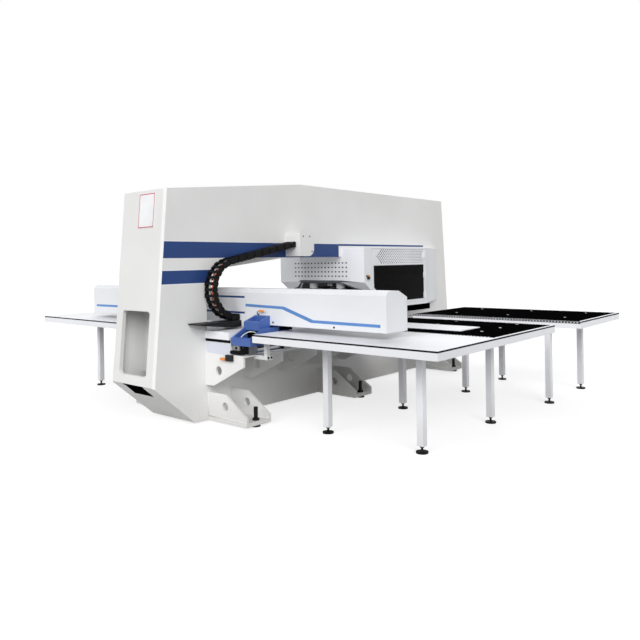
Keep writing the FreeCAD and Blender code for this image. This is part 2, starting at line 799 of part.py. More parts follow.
def guide_beam(name, x_side):
    """Fabricated guide on gussets, with two arms that carry the side table."""
    guide = Body(name)
    start, end = along(guide_back), along(guide_back + guide_length)
    guide.pad("XZ", [sided(rectangle(half_width, ledge_top, guide_box_outer, guide_box_top), x_side)],
              start, end)
    guide.pocket("XZ", [sided(rectangle(half_width + guide_box_wall, ledge_top + guide_box_wall,
                                        guide_box_outer - guide_box_wall, guide_box_top - guide_box_wall),
                              x_side)], start + gusset_thickness, end - gusset_thickness)
    guide.pad("XZ", [sided(rectangle(half_width, ledge_top - ledge_thickness, ledge_outer, ledge_top),
                           x_side)], start, end)
    top = ledge_top - ledge_thickness
    gusset = [(half_width, top), (ledge_outer - ledge_thickness, top),
              (ledge_outer - ledge_thickness, top - gusset_tip_depth),
              (half_width + gusset_root_run, top - gusset_root_depth), (half_width, top - gusset_root_depth)]
    hole_x = (half_width + ledge_outer) / 2 - gusset_hole_radius * 2
    hole_z = top - gusset_root_depth / 2
    hole = circle(hole_x * x_side, hole_z, gusset_hole_radius)
    plate = guide.pad("XZ", [sided(gusset, x_side), hole], start, start + gusset_thickness)
    guide.repeat([plate], "Y", gusset_pitch, gusset_count)
    arm_bottom = ledge_top - arm_depth / 2
    for arm in (arm_back, arm_front):
        guide.pad("XZ", [sided(rectangle(ledge_outer - ledge_thickness, arm_bottom, arm_outer, ledge_top),
                               x_side)], along(arm), along(arm + arm_depth))
        guide.pad("XY", [sided(rectangle(arm_outer - post_side, along(arm), arm_outer,
                                         along(arm + post_side)), x_side)],
                  arm_bottom, table_height - table_depth)
    return guide.done()


def guide_rail(name, x_side):
    """Profiled linear rail, waisted below its head."""
    rail = Body(name)
    half, waist, head = rail_width / 2, rail_width / 2 - rail_width / 8, rail_height / 4
    centre = rail_centre * x_side
    section = [(centre - half, ledge_top), (centre + half, ledge_top),
               (centre + half, ledge_top + rail_height / 4), (centre + waist, ledge_top + rail_height / 2),
               (centre + half, ledge_top + rail_height - head), (centre + half, ledge_top + rail_height),
               (centre - half, ledge_top + rail_height), (centre - half, ledge_top + rail_height - head),
               (centre - waist, ledge_top + rail_height / 2), (centre - half, ledge_top + rail_height / 4)]
    rail.pad("XZ", [section], along(guide_back + gusset_thickness), along(guide_back + guide_length))
    return rail.done()


def bearing_blocks(name, x_side):
    """Two runner blocks that straddle the rail under the saddle."""
    centre = rail_centre * x_side
    blocks = []
    lows = (saddle_back + saddle_plate, saddle_front - saddle_plate - block_length)
    low_z = ledge_top + rail_height / 4 + slide_gap
    for index, low in enumerate(lows):
        solid = block(f"{name}_solid_{index}", centre - block_width / 2, centre + block_width / 2,
                      along(low), along(low + block_length), low_z, saddle_bottom)
        slot = block(f"{name}_slot_{index}", centre - rail_width / 2 - slide_gap,
                     centre + rail_width / 2 + slide_gap, along(low) - block_width,
                     along(low + block_length) + block_width, low_z - rail_height,
                     ledge_top + rail_height + slide_gap)
        blocks.append(cut(f"{name}_{index}", solid, slot))
    return finish(group(name + "_pair", blocks), name)


def front_gusset(name, x_side):
    """Cantilever plates that carry the front table beside the turret."""
    plates = Body(name)
    top = throat_floor
    arm = [(half_width, top), (arm_outer, top), (arm_outer, top - arm_depth),
           (half_width + gusset_root_run, top - gusset_root_depth), (half_width, top - gusset_root_depth)]
    hole = circle((half_width + gusset_root_run) * x_side, top - gusset_root_depth / 2, gusset_hole_radius)
    for start in (front_gusset_back, front_gusset_front):
        plates.pad("XZ", [sided(arm, x_side), hole], along(start), along(start + gusset_thickness))
        plates.pad("XY", [sided(rectangle(arm_outer - post_side, along(start), arm_outer,
                                          along(start + gusset_thickness)), x_side)],
                   top, table_height - table_depth)
    plates.pad("XZ", [sided(rectangle(half_width, top - ledge_thickness, half_width + gusset_root_run, top),
                            x_side)], along(front_gusset_back), along(front_gusset_front))
    return plates.done()


# ---------------------------------------------------------------- gantry beam

def cover_section(inset):
    """Half section of the beam's cover, inset from its outside: back wall, bevelled top, front lip."""
    back, front = along(beam_back), along(beam_back + cover_depth)
    return [(back + inset, cover_bottom), (back + inset, cover_top - cover_back_bevel),
            (back + cover_back_bevel + inset / 2, cover_top - inset),
            (front - cover_bevel_run - inset / 2, cover_top - inset),
            (front - inset, cover_top - cover_front_bevel - inset / 2)]


def beam_cover(name, x0, x1, cap_at=None):
    """Folded sheet cover with a bevelled top, a front lip and a closed end."""
    cover = Body(name)
    bottom = cover_top - cover_front_bevel - cover_lip
    outside, inside = cover_section(0.0), cover_section(cover_sheet)
    front = along(beam_back + cover_depth)
    section = outside + [(front, bottom), (front - cover_sheet, bottom)] + list(reversed(inside))
    cover.pad("YZ", [section], x0, x1)
    if cap_at is not None:
        full = cover_section(0.0) + [(front, cover_bottom)]
        cover.pad("YZ", [full], *cap_at)
    return cover.done()


def gantry_beam():
    """Welded box beam with feet for the covers."""
    beam = Body("gantry_beam")
    length = cover_half_length - cover_sheet
    back = along(beam_back + beam_inset)
    front = back + beam_depth
    beam.pad("YZ", [rectangle(back, beam_bottom, front, beam_top)], -length, length)
    beam.pocket("YZ", [rectangle(back + beam_wall, beam_bottom + beam_wall, front - beam_wall,
                                 beam_top - beam_wall)], -length, length)
    rest = cover_top - cover_sheet
    cleats = [rectangle(side * x - post_side / 2, back + beam_wall, side * x + post_side / 2, front - post_side)
              for x in (cover_seam - post_side, cover_seam + post_side, cover_half_length - post_side * 2)
              for side in (1, -1)]
    beam.pad("XY", cleats, beam_top, rest)
    ties = [rectangle(side * x - post_side / 2, along(beam_back + cover_sheet),
                      side * x + post_side / 2, back)
            for x in (cover_seam - post_side, cover_seam + post_side, cover_half_length - post_side * 2)
            for side in (1, -1)]
    beam.pad("XY", ties, beam_bottom, beam_bottom + post_side)
    return beam.done()


def saddle(name, x_side):
    """Casting that carries the beam on its runner blocks: two stepped open troughs, riser and side wing."""
    casting = Body(name)
    inner, outer = (saddle_inner, saddle_outer) if x_side > 0 else (-saddle_outer, -saddle_inner)
    box_inner, box_outer = (saddle_inner, saddle_box_outer) if x_side > 0 else (-saddle_box_outer, -saddle_inner)
    back, front, step = along(saddle_back), along(saddle_front), along(saddle_step)
    rise_back = along(beam_back + beam_inset)
    rise_front = rise_back + beam_depth
    plate_top = saddle_bottom + saddle_plate
    shelf = cover_bottom - saddle_wall
    wall_y = along(beam_back) - slide_gap
    casting.pad("YZ", [[(back, saddle_bottom), (front, saddle_bottom), (front, plate_top),
                        (rise_front, plate_top + saddle_plate), (rise_front, beam_bottom),
                        (rise_back, beam_bottom), (rise_back, shelf), (step, shelf), (back, saddle_lip_top)]],
                inner, outer)
    casting.pad("YZ", [[(step, shelf), (wall_y, shelf), (wall_y, saddle_box_top), (step, saddle_step_top)]],
                box_inner, box_outer)
    casting.pocket("XY", [rectangle(box_inner + saddle_wall, step + saddle_wall, box_outer - saddle_wall,
                                    wall_y - saddle_wall)], shelf, saddle_box_top)
    casting.pocket("XY", [rectangle(inner + saddle_wall, back + saddle_wall, outer - saddle_wall, step)],
                   plate_top, shelf)
    casting.pocket("XY", [rectangle(inner + saddle_wall, step, outer - saddle_wall, wall_y - saddle_wall)],
                   plate_top, shelf - saddle_wall)
    casting.pocket("YZ", [rectangle(rise_back + saddle_wall, plate_top + saddle_wall,
                                    rise_front - saddle_wall, beam_bottom - saddle_wall)], inner, outer)
    wing = [(saddle_outer, beam_bottom), (saddle_wing_outer, beam_bottom),
            (saddle_wing_outer, beam_bottom - beam_wall), (saddle_outer, cover_bottom - beam_wall)]
    casting.pad("XZ", [sided(wing, x_side)], rise_back, rise_front)
    return casting.done()


def x_rails():
    """The two rails along the front of the beam."""
    front = along(beam_back + beam_inset) + beam_depth
    reach = cover_half_length - cover_sheet * 4
    rails = [block(f"x_rail_{index}", -reach, reach, front, front + x_rail_depth,
                   low, low + x_rail_height) for index, low in enumerate((x_rail_low, x_rail_high))]
    return finish(group("x_rail_pair", rails), "x_rails")


# ---------------------------------------------------------------- carriage and clamps

carriage_back = along(beam_back + beam_inset) + beam_depth + x_rail_depth + slide_gap
carriage_front = carriage_back + carriage_depth


def x_carriage():
    """Long plate that slides on the beam's rails and carries the clamps, with runners over the rails."""
    plate = Body("x_carriage")
    plate.pad("YZ", [rectangle(carriage_back, carriage_bottom, carriage_front, carriage_top)],
              -carriage_half, carriage_half)
    inset = clamp_width
    keep = post_side / 2
    for low in (x_rail_low, x_rail_high):
        for edge in (low - keep - slide_gap, low + x_rail_height + slide_gap):
            plate.pad("YZ", [rectangle(carriage_back - x_rail_depth + ram_gap, edge, carriage_back, edge + keep)],
                      -carriage_half, carriage_half)
    windows = [rectangle(x + inset, x_rail_low + x_rail_height + post_side, x + clamp_spacing - inset,
                         x_rail_high - post_side) for x in (-clamp_spacing, 0.0)]
    plate.pocket("XZ", windows, carriage_back, carriage_front)
    return plate.done()


def clamp(name, x):
    """Clamp body with its lower plate, two ears and the jaw's pin."""
    body = Body(name)
    low = table_height + jaw_clearance
    half = clamp_width / 2
    root = carriage_front
    pivot_y = root + jaw_pivot_run
    ear_back = root + clamp_upright
    tip = root + clamp_reach
    body.pad("YZ", [[(root, low), (tip, low), (tip, low + jaw_plate / 2), (tip - jaw_plate, low + jaw_plate),
                     (ear_back, low + jaw_plate), (ear_back, clamp_top - jaw_plate),
                     (ear_back - jaw_plate, clamp_top), (root, clamp_top)]], x - half, x + half)
    ear = rectangle(ear_back, jaw_pivot_height - pin_radius * 3, pivot_y + pin_radius * 2,
                    jaw_pivot_height + pin_radius * 2)
    side = (clamp_width - jaw_width) / 2 - ram_gap
    body.pad("YZ", [ear], x - half, x - half + side)
    body.pad("YZ", [ear], x + half - side, x + half)
    body.pad("YZ", [circle(pivot_y, jaw_pivot_height, pin_radius)], x - half, x + half)
    return body.done()


def jaw(name, x):
    """Upper jaw that tilts on the clamp's pin."""
    arm = Body(name)
    grip = table_height + jaw_clearance + jaw_plate + jaw_gap
    root = carriage_front
    pivot_y = root + jaw_pivot_run
    tip = root + clamp_reach
    rear = pivot_y - jaw_back_reach
    boss = jaw_boss_radius
    arm.pad("YZ", [[(tip, grip), (tip, grip + jaw_plate), (pivot_y + boss, jaw_pivot_height),
                    (pivot_y + boss, jaw_pivot_height + boss), (rear, jaw_pivot_height + boss),
                    (rear, grip + jaw_plate * 2), (tip - jaw_plate * 4, grip)],
                   circle(pivot_y, jaw_pivot_height, pin_radius + pin_gap)],
            x - jaw_width / 2, x + jaw_width / 2)
    return arm.done()


# ---------------------------------------------------------------- turrets, ram and sheet holders

turret_y = along(turret_run)


def station_points(count, degrees_start):
    return [polar(0.0, turret_y, station_radius, degrees_start + 360 * i / count) for i in range(count)]


stations = station_points(STATIONS, -90)


def turret(name, bottom, thickness, shaft_low, shaft_high, bore_radius):
    """Turret disc with its stations bored through and its shaft."""
    disc = Body(name)
    disc.pad("XY", [circle(0.0, turret_y, turret_radius)]
             + [circle(x, y, bore_radius) for x, y in stations], bottom, bottom + thickness)
    disc.pad("XY", [circle(0.0, turret_y, turret_shaft_radius)], shaft_low, shaft_high)
    return disc.done()


def station_tools(name, prefix, section):
    """Tools for every station, turned to one section and set round the turret."""
    tools = []
    for index, (x, y) in enumerate(stations):
        rings = [post(f"{prefix}_{index}_{ring}", x, y, radius, low, high)
                 for ring, (radius, low, high) in enumerate(section)]
        tools.append(join(f"{prefix}_{index}", rings))
    return finish(group(prefix + "s", tools), name)


def turrets():
    upper_top = upper_turret_bottom + upper_turret_thickness
    lower_top = lower_turret_bottom + lower_turret_thickness
    hub_bottom = upper_top + pin_radius
    turret("upper_turret", upper_turret_bottom, upper_turret_thickness, upper_top,
           throat_top - frame_wall * 2, punch_radius)
    turret("lower_turret", lower_turret_bottom, lower_turret_thickness, throat_floor - hub_radius * 2,
           lower_turret_bottom, punch_radius)
    collar, neck, head = punch_radius + pin_radius, punch_radius - strap_depth, punch_radius + strap_depth
    head_low = punch_head_top - holder_rod_radius
    station_tools("punch_holders", "punch", [(punch_radius, upper_turret_bottom - post_side / 2, upper_top),
                                             (neck, upper_top, head_low), (head, head_low, punch_head_top)])
    station_tools("die_holders", "die", [(punch_radius, lower_turret_bottom, lower_top),
                                         (collar, lower_top, table_height - jaw_clearance)])

    upper = Body("upper_turret_hub")
    upper.pad("XY", [circle(0.0, turret_y, hub_radius), circle(0.0, turret_y, turret_shaft_radius + pin_gap)],
              hub_bottom, throat_top - hub_flange)
    upper.pad("XY", [circle(0.0, turret_y, hub_flange_radius)], throat_top - hub_flange, throat_top)
    upper.done()
    lower = Body("lower_turret_hub")
    low = throat_floor - hub_radius * 2 - frame_wall
    lower.pad("XY", [circle(0.0, turret_y, hub_radius), circle(0.0, turret_y, turret_shaft_radius + pin_gap)],
              low, throat_floor)
    lower.pad("XY", [circle(0.0, turret_y, hub_flange_radius),
                     circle(0.0, turret_y, turret_shaft_radius + pin_gap)],
              throat_floor, throat_floor + hub_flange)
    lower.done()


def ram_set():
    """Ram cylinder under the upper arm, and the ram that strikes the punch below it."""
    y = turret_y - station_radius
    top = throat_top - frame_wall
    cylinder = Body("ram_cylinder")
    bore = ram_radius + pin_gap
    cylinder.pad("XY", [circle(0.0, y, ram_cylinder_radius), circle(0.0, y, bore)],
                 ram_cylinder_bottom, top)
    cylinder.pad("XY", [circle(0.0, y, ram_flange_radius)], top, throat_top)
    cylinder.done()
    low = punch_head_top + ram_gap + ram_stroke
    striker = post("ram_head", 0.0, y, ram_radius + pin_radius, low, low + ram_stroke)
    rod = post("ram_rod", 0.0, y, ram_radius, low, top - ram_gap)
    finish(join("ram_parts", [striker, rod]), "ram")


def sheet_holders():
    """Two hold-down cylinders on a bracket, and their rods with round feet."""
    y = turret_y - station_radius - holder_set_back
    top = throat_top
    flange = top - frame_wall
    bracket = Body("holder_bracket")
    bore = holder_rod_radius + pin_gap
    flange_radius = holder_radius + ledge_thickness
    bar_back = y - flange_radius - frame_wall
    bracket.pad("XY", [rectangle(-holder_offset - flange_radius, bar_back, holder_offset + flange_radius,
                                 bar_back + frame_wall)], flange, top)
    for side in (1, -1):
        bracket.pad("XY", [circle(side * holder_offset, y, holder_radius),
                           circle(side * holder_offset, y, bore)], holder_bottom, flange)
        bracket.pad("XY", [circle(side * holder_offset, y, flange_radius)], flange, top)
        bracket.pad("XY", [rectangle(side * holder_offset - holder_rod_radius, bar_back,
                                     side * holder_offset + holder_rod_radius, y)], flange, top)
    bracket.done()
    for name, side in (("near_holder_rod", 1), ("far_holder_rod", -1)):
        rod = post(name + "_rod", side * holder_offset, y, holder_rod_radius, holder_foot_height,
                   flange - ram_gap)
        foot = post(name + "_foot", side * holder_offset, y, holder_foot_radius, holder_foot_height,
                    holder_foot_height + holder_foot_thickness)
        finish(join(name + "_parts", [rod, foot]), name)


# ---------------------------------------------------------------- turret guard

def bevelled(back, front, bottom, top, margin):
    """Outline on the guard's side, with its low back corner cut off along the guard's bevel."""
    fall = (guard_back_bottom - guard_bottom) / guard_bevel_run
    line = guard_back_bottom + bevel_sheet + margin
    return [(along(guard_back + (line - bottom) / fall), bottom), (along(front), bottom),
            (along(front), top), (along(back), top), (along(back), line - (back - guard_back) * fall)]


def turret_guard():
    """Folded guard round the turrets: vented back, mouth for the sheet, tapered front."""
    shell = Body("turret_guard")
    back, side_front, front = along(guard_back), along(guard_side_front), along(guard_front)
    half, sheet_in = guard_half_width, guard_sheet
    shell.pad("XY", [[(-half, back), (half, back), (half, side_front), (half_width, front),
                      (-half_width, front), (-half, side_front)]], guard_bottom, guard_top)
    inner_front = front - taper_sheet
    shell.pocket("XY", [[(sheet_in - half, back + sheet_in), (half - sheet_in, back + sheet_in),
                         (half - sheet_in, side_front), (half_width, inner_front), (-half_width, inner_front),
                         (sheet_in - half, side_front)]], guard_bottom, guard_top - sheet_in)
    shell.pocket("XY", [rectangle(-half_width, back, half_width, front)], throat_top, guard_top)
    shell.pocket("XY", [rectangle(-half_width, along(throat_front), half_width, front)],
                 guard_bottom, throat_top)
    shell.pocket("YZ", [bevelled(door_back, door_front, door_bottom, door_top, bevel_margin)], -half, half)
    row = [rectangle(-vent_pitch * (vent_count - 1) / 2 - vent_length / 2, vent_low_row + vent_row_pitch * i,
                     -vent_pitch * (vent_count - 1) / 2 + vent_length / 2,
                     vent_low_row + vent_row_pitch * i + vent_height) for i in range(VENT_ROWS)]
    vents = shell.pocket("XZ", row, back, back + sheet_in)
    shell.repeat([vents], "X", vent_pitch, vent_count)
    shell.pocket("YZ", [[(back, guard_bottom), (back + guard_bevel_run, guard_bottom),
                         (back, guard_back_bottom)]], -half, half)
    shell.pad("YZ", [[(back, guard_back_bottom), (back + guard_bevel_run, guard_bottom),
                      (back + guard_bevel_run, guard_bottom + bevel_sheet),
                      (back, guard_back_bottom + bevel_sheet)]],
              -half, half)
    arch = [(guard_mouth_half, guard_mouth_side), (guard_mouth_shoulder, guard_mouth_side + guard_shoulder_rise),
            (guard_mouth_crown, guard_mouth_top)]
    shell.pocket("XZ", [[(guard_mouth_half, guard_bottom)] + arch + mirrored(arch)
                        + [(-guard_mouth_half, guard_bottom)]],
                 back, back + guard_bevel_run)
    return shell.done()


def pane_outline():
    return bevelled(pane_back, pane_front, pane_bottom, pane_top, bevel_margin + pane_back - door_back)


def guard_door(name, x_side):
    """Side door with a window opening and three hinge knuckles."""
    door = Body(name)
    face = guard_half_width
    x0, x1 = (face - guard_sheet, face) if x_side > 0 else (-face, guard_sheet - face)
    leaf = bevelled(door_back + door_gap, door_front - door_gap, door_bottom + door_gap,
                    door_top - door_gap, bevel_margin + door_gap)
    pane = pane_outline()
    door.pad("YZ", [leaf, pane], x0, x1)
    pin_x = (face + hinge_radius + slide_gap) * x_side
    pin_y = along(door_front)
    strap = hinge_radius / 2
    length = hinge_radius * 10
    step = (door_top - door_bottom - length * 2) / 2
    for i in range(3):
        low = door_bottom + length / 2 + step * i
        door.pad("XY", [circle(pin_x, pin_y, hinge_radius)], low, low + length)
        door.pad("XY", [sided(rectangle(face, pin_y - length / 2, face + strap + hinge_radius, pin_y - strap),
                              x_side)], low, low + length)
    return door.done()


def guard_pane(name, x_side):
    """Tinted pane set in the door's opening."""
    face = guard_half_width
    inner, outer = face - pane_inset - pane_thickness, face - pane_inset
    x0, x1 = (inner, outer) if x_side > 0 else (-outer, -inner)
    pane = Body(name)
    pane.pad("YZ", [pane_outline()], x0, x1)
    return pane.done()


def door_locks():
    """Safety locks beside the doors."""
    locks = []
    face = guard_half_width
    low = along(door_back) - lock_width * 3
    tab_low = low - lock_width / 2
    for index, side in enumerate((1, -1)):
        near, far = (face, face + lock_depth) if side > 0 else (-face - lock_depth, -face)
        body = block(f"lock_body_{index}", near, far, low, low + lock_width, lock_height,
                     lock_height + lock_width)
        tab = block(f"lock_tab_{index}", *((face, face + strap_depth) if side > 0 else
                                           (-face - strap_depth, -face)),
                    tab_low, tab_low + lock_tab_width, lock_height + lock_width,
                    lock_height + lock_width + lock_tab_height)
        locks.append(join(f"lock_{index}", [body, tab]))
    return finish(group("lock_pair", locks), "door_locks")


# ---------------------------------------------------------------- cable chain and small parts

def chain_box():
    """Fixed bracket box on the frame's side where the chain starts."""
    box = Body("chain_box")
    back = along(chain_box_back)
    box.pad("YZ", [rectangle(back, chain_box_bottom, back + chain_box_length, chain_box_top)],
            half_width, chain_box_outer)
    front = number(back + chain_box_length)
    box.fillet(chain_box_corner, lambda edge: abs(edge.CenterOfMass.y - front) < 1
               and abs(edge.CenterOfMass.z - number(chain_box_bottom)) < 1)
    return box.done()


def chain_point(distance):
    """Place and heading on the chain's route: a slope down, a half turn, then level to the beam."""
    slope = math.radians(number(chain_slope))
    radius = number(chain_radius)
    turn_y = number(along(chain_turn))
    middle = number(chain_low) + radius
    top_y, top_z = turn_y - radius * math.sin(slope), middle + radius * math.cos(slope)
    start_y = number(along(chain_box_back) - slide_gap)
    slope_run = (start_y - top_y) / math.cos(slope)
    bend = radius * (math.pi - slope)
    if distance < slope_run:
        left = slope_run - distance
        return top_y + left * math.cos(slope), top_z + left * math.sin(slope), math.pi + slope
    if distance < slope_run + bend:
        turned = (distance - slope_run) / radius
        angle = math.pi / 2 + slope + turned
        return turn_y + radius * math.cos(angle), middle + radius * math.sin(angle), angle + math.pi / 2
    ahead = distance - slope_run - bend
    return turn_y + ahead, number(chain_low), 0.0


def chain_length():
    slope = math.radians(number(chain_slope))
    radius = number(chain_radius)
    top_y = number(along(chain_turn)) - radius * math.sin(slope)
    slope_run = (number(along(chain_box_back) - slide_gap) - top_y) / math.cos(slope)
    return slope_run + radius * (math.pi - slope) + number(along(beam_back) - slide_gap - along(chain_turn))


def chain_link(width, pitch):
    """One link: two eight-sided side plates and two bars across."""
    height = number(chain_height)
    overlap = number(chain_bar)
    long_half = pitch / 2 + overlap
    corner = number(chain_corner)
    half = height / 2
    outline = [(-long_half, corner - half), (corner - long_half, -half), (long_half - corner, -half),
               (long_half, corner - half), (long_half, half - corner), (long_half - corner, half),
               (corner - long_half, half), (-long_half, half - corner)]
    plate = number(chain_plate)
    solids = []
    for x in (-width / 2, width / 2 - plate):
        wire = Part.makePolygon([FreeCAD.Vector(x, a, b) for a, b in outline + outline[:1]])
        solids.append(Part.Face(wire).extrude(FreeCAD.Vector(plate, 0, 0)))
    bar, length = number(chain_bar), number(chain_bar_length)
    for low in (-half, half - bar):
        solids.append(Part.makeBox(width - plate, length, bar,
                                   FreeCAD.Vector((plate - width) / 2, -length / 2, low)))
    return solids[0].fuse(solids[1:]).removeSplitter()


def cable_chain():
    """Link chain with alternate wide and narrow links along its fixed route."""
    count = int(number(chain_links))
    pitch = chain_length() / count
    wide = number(chain_width)
    narrow = wide - 2 * number(chain_plate) - 2 * number(slide_gap)
    ends = {0: number(along(chain_box_back) - slide_gap), count - 1: number(along(beam_back) - slide_gap)}
    links = []
    for i in range(count):
        y, z, heading = chain_point(pitch * (i + 0.5))
        link = chain_link(narrow if i % 2 else wide, pitch)
        link.rotate(FreeCAD.Vector(), FreeCAD.Vector(1, 0, 0), math.degrees(heading))
        link.translate(FreeCAD.Vector(number(chain_centre), y, z))
        if i in ends:
            beyond = FreeCAD.Vector(number(chain_centre) - wide, ends[i], z - wide)
            link = link.cut(Part.makeBox(2 * wide, wide, 2 * wide, beyond))
        links.append(link)
    item = doc.addObject("Part::Feature", "cable_chain_links")
    item.Shape = Part.makeCompound(links)
    return finish(item, "cable_chain")


def chain_cables():
    """Two cables laid through the links: a slope, a half turn and a short level run each."""
    slope, radius = math.radians(number(chain_slope)), number(chain_radius)
    turn_y, middle = number(along(chain_turn)), number(chain_low + chain_radius)
    start_y = number(along(chain_box_back) - slide_gap) - number(cable_radius) * math.sin(slope)
    end_y = number(along(beam_back) - slide_gap)
    top_y, top_z = turn_y - radius * math.sin(slope), middle + radius * math.cos(slope)
    cables = []
    for side in (1, -1):
        x = number(chain_centre + side * cable_spacing / 2)
        start = FreeCAD.Vector(x, start_y, top_z + (start_y - top_y) * math.tan(slope))
        top = FreeCAD.Vector(x, top_y, top_z)
        back = FreeCAD.Vector(x, turn_y - radius, middle)
        low = FreeCAD.Vector(x, turn_y, middle - radius)
        end = FreeCAD.Vector(x, end_y, middle - radius)
        path = Part.Wire([Part.LineSegment(start, top).toShape(), Part.Arc(top, back, low).toShape(),
                          Part.LineSegment(low, end).toShape()])
        ring = Part.Wire(Part.makeCircle(number(cable_radius), start, start - top))
        cables.append(path.makePipeShell([ring], True, True))
    item = doc.addObject("Part::Feature", "chain_cable_runs")
    item.Shape = Part.makeCompound(cables)
    return finish(item, "chain_cables")


def chain_tray():
    """Tapered tray on the back of the beam where the chain lands."""
    tray = Body("chain_tray")
    top = chain_low - chain_height / 2 - landing_gap
    back, front = along(tray_back), along(beam_back)
    tray.pad("YZ", [[(back, top - tray_tip), (front - tray_depth * 2, top - tray_depth),
                     (front, top - tray_depth), (front, top), (back, top)]],
             chain_centre - tray_width / 2, chain_centre + tray_width / 2)
    return tray.done()


def rear_plate():
    """Blank sign plate on the back of the frame."""
    plate = Body("rear_plate")
    lean = end_lean / (back_height - corner_height)
    high, low = back_height - plate_drop, back_height - plate_drop - plate_height
    low_y = back_y - (plate_drop + plate_height) * lean
    high_y = back_y - plate_drop * lean
    plate.pad("YZ", [[(low_y, low), (high_y, high), (high_y - plate_thickness, high),
                      (low_y - plate_thickness, low)]],
              plate_shift - plate_width / 2, plate_shift + plate_width / 2)
    return plate.done()


def limit_switch():
    """Limit switch on the first gusset, with its plunger."""
    outer = guide_box_outer + switch_reach
    inner = outer - switch_length
    back = along(guide_back) - switch_depth
    body = block("switch_body", inner, outer, back, along(guide_back), ledge_top - switch_height, ledge_top)
    lever = cross_rod("switch_lever", inner - lever_length, inner, back + switch_depth / 2,
                      ledge_top - switch_height * 3 / 4, pin_radius)
    return finish(join("switch", [body, lever]), "limit_switch")


# ---------------------------------------------------------------- build and export

main_frame()
levelling_bolts()
all_tables()
for word, side_sign in (("near", 1), ("far", -1)):
    guide_beam(f"{word}_guide_beam", side_sign)
    guide_rail(f"{word}_guide_rail", side_sign)
    bearing_blocks(f"{word}_bearing_blocks", side_sign)
    front_gusset(f"{word}_front_gussets", side_sign)
    saddle(f"{word}_saddle", side_sign)
    guard_door(f"{word}_guard_door", side_sign)
    guard_pane(f"{word}_guard_pane", side_sign)

gantry_beam()
x_rails()
seam = cover_seam + seam_gap
beam_cover("near_beam_cover", seam, cover_half_length, (cover_half_length - cover_sheet, cover_half_length))
beam_cover("far_beam_cover", -cover_half_length, -seam, (-cover_half_length, cover_sheet - cover_half_length))
beam_cover("middle_beam_cover", -cover_seam, cover_seam)
x_carriage()
for word, position in (("far", -clamp_spacing), ("middle", 0.0), ("near", clamp_spacing)):
    clamp(f"{word}_clamp", position)
    jaw(f"{word}_clamp_jaw", position)

turrets()
ram_set()
sheet_holders()
turret_guard()
door_locks()
chain_box()
cable_chain()
chain_cables()
chain_tray()
rear_plate()
limit_switch()

doc.recompute()

for item in doc.Objects:
    if "Invalid" in item.State or "Error" in item.State:
        raise RuntimeError(f"{item.Label} did not build: {item.State}")
for piece in pieces:
    if piece.Shape.isNull() or not piece.Shape.isValid():
        raise RuntimeError(f"{piece.Label} has no valid shape")
    piece.Shape.exportStep(f"parts/{piece.Label}.step")
    print(piece.Label, len(piece.Shape.Solids), round(piece.Shape.Volume / 1e6, 2))
print(len(pieces), "pieces")
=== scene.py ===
# Looks of the CNC turret punch press: paint, metal, brush fields, painted lines, fasteners and stage.
# Metres, in the model's own axes: X along the gantry beam, Y from the closed back end to the turret end.
import math
import random

import bmesh
import bpy
from bpy.props import FloatProperty, FloatVectorProperty, IntProperty, PointerProperty
from bpy.types import Operator, Panel, PropertyGroup
from mathutils import Matrix, Vector


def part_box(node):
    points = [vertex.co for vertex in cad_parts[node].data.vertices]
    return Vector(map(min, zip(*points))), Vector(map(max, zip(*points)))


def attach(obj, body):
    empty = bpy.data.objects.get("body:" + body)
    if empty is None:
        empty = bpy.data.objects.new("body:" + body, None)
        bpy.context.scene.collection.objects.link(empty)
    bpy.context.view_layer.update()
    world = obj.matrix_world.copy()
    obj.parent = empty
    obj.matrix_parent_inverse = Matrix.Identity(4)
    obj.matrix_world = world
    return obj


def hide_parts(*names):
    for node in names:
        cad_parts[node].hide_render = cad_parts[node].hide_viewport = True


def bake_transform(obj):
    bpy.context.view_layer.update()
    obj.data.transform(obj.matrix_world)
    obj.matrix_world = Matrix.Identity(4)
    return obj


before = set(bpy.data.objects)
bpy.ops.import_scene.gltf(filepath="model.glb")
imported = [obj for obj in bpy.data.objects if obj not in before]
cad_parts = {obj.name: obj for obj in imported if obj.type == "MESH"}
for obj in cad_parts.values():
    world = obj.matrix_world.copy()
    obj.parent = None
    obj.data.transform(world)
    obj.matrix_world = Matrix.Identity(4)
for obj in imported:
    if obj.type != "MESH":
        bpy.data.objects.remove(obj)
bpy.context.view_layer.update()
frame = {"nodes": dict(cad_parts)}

bl_info = {
    "name": "Turret punch press looks",
    "version": (1, 0, 0),
    "blender": (4, 5, 0),
    "location": "View3D > Sidebar > Press",
    "description": "Finishes, brush fields, painted lines, fasteners and stage of a turret punch press",
    "category": "Object",
}

FRAME_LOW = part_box("main_frame")[0]
SIDE = 0.356                                  # from the middle to the frame's side face
END_TOP, END_FOOT = 2.320, 0.430              # heights between which the closed end leans back
END_LEAN = 0.170                              # how far it leans
END_SLOPE = END_LEAN / (END_TOP - END_FOOT)
BACK = FRAME_LOW.y + END_LEAN                 # the frame's top back edge
CHAMFER_RUN = 0.480                           # of the slope under the closed end
THROAT_BACK, THROAT_SHOULDER = 0.480, 1.400   # the back of the opening for the sheet, and its upper corner
FOOT_STARTS = (0.480, 2.160, 4.360)
FOOT_DEPTH, FOOT_PLATE, FOOT_BASE = 0.320, 0.030, 0.060
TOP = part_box("near_table")[1].z
TABLE_BACK, TABLE_FRONT, TABLE_OUTER = 0.450, 2.730, 3.030
FRONT_TABLE_BACK, FRONT_TABLE_FRONT, FRONT_TABLE_OUTER = 3.210, 4.550, 3.120
TABLE_INNER = 1.050
GUARD_LOW, GUARD_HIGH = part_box("turret_guard")
GUARD_INNER = GUARD_HIGH.x - 0.015            # half the width between the guard's walls
GUARD_BEND = 1.330                            # height at which the guard's back bends forwards
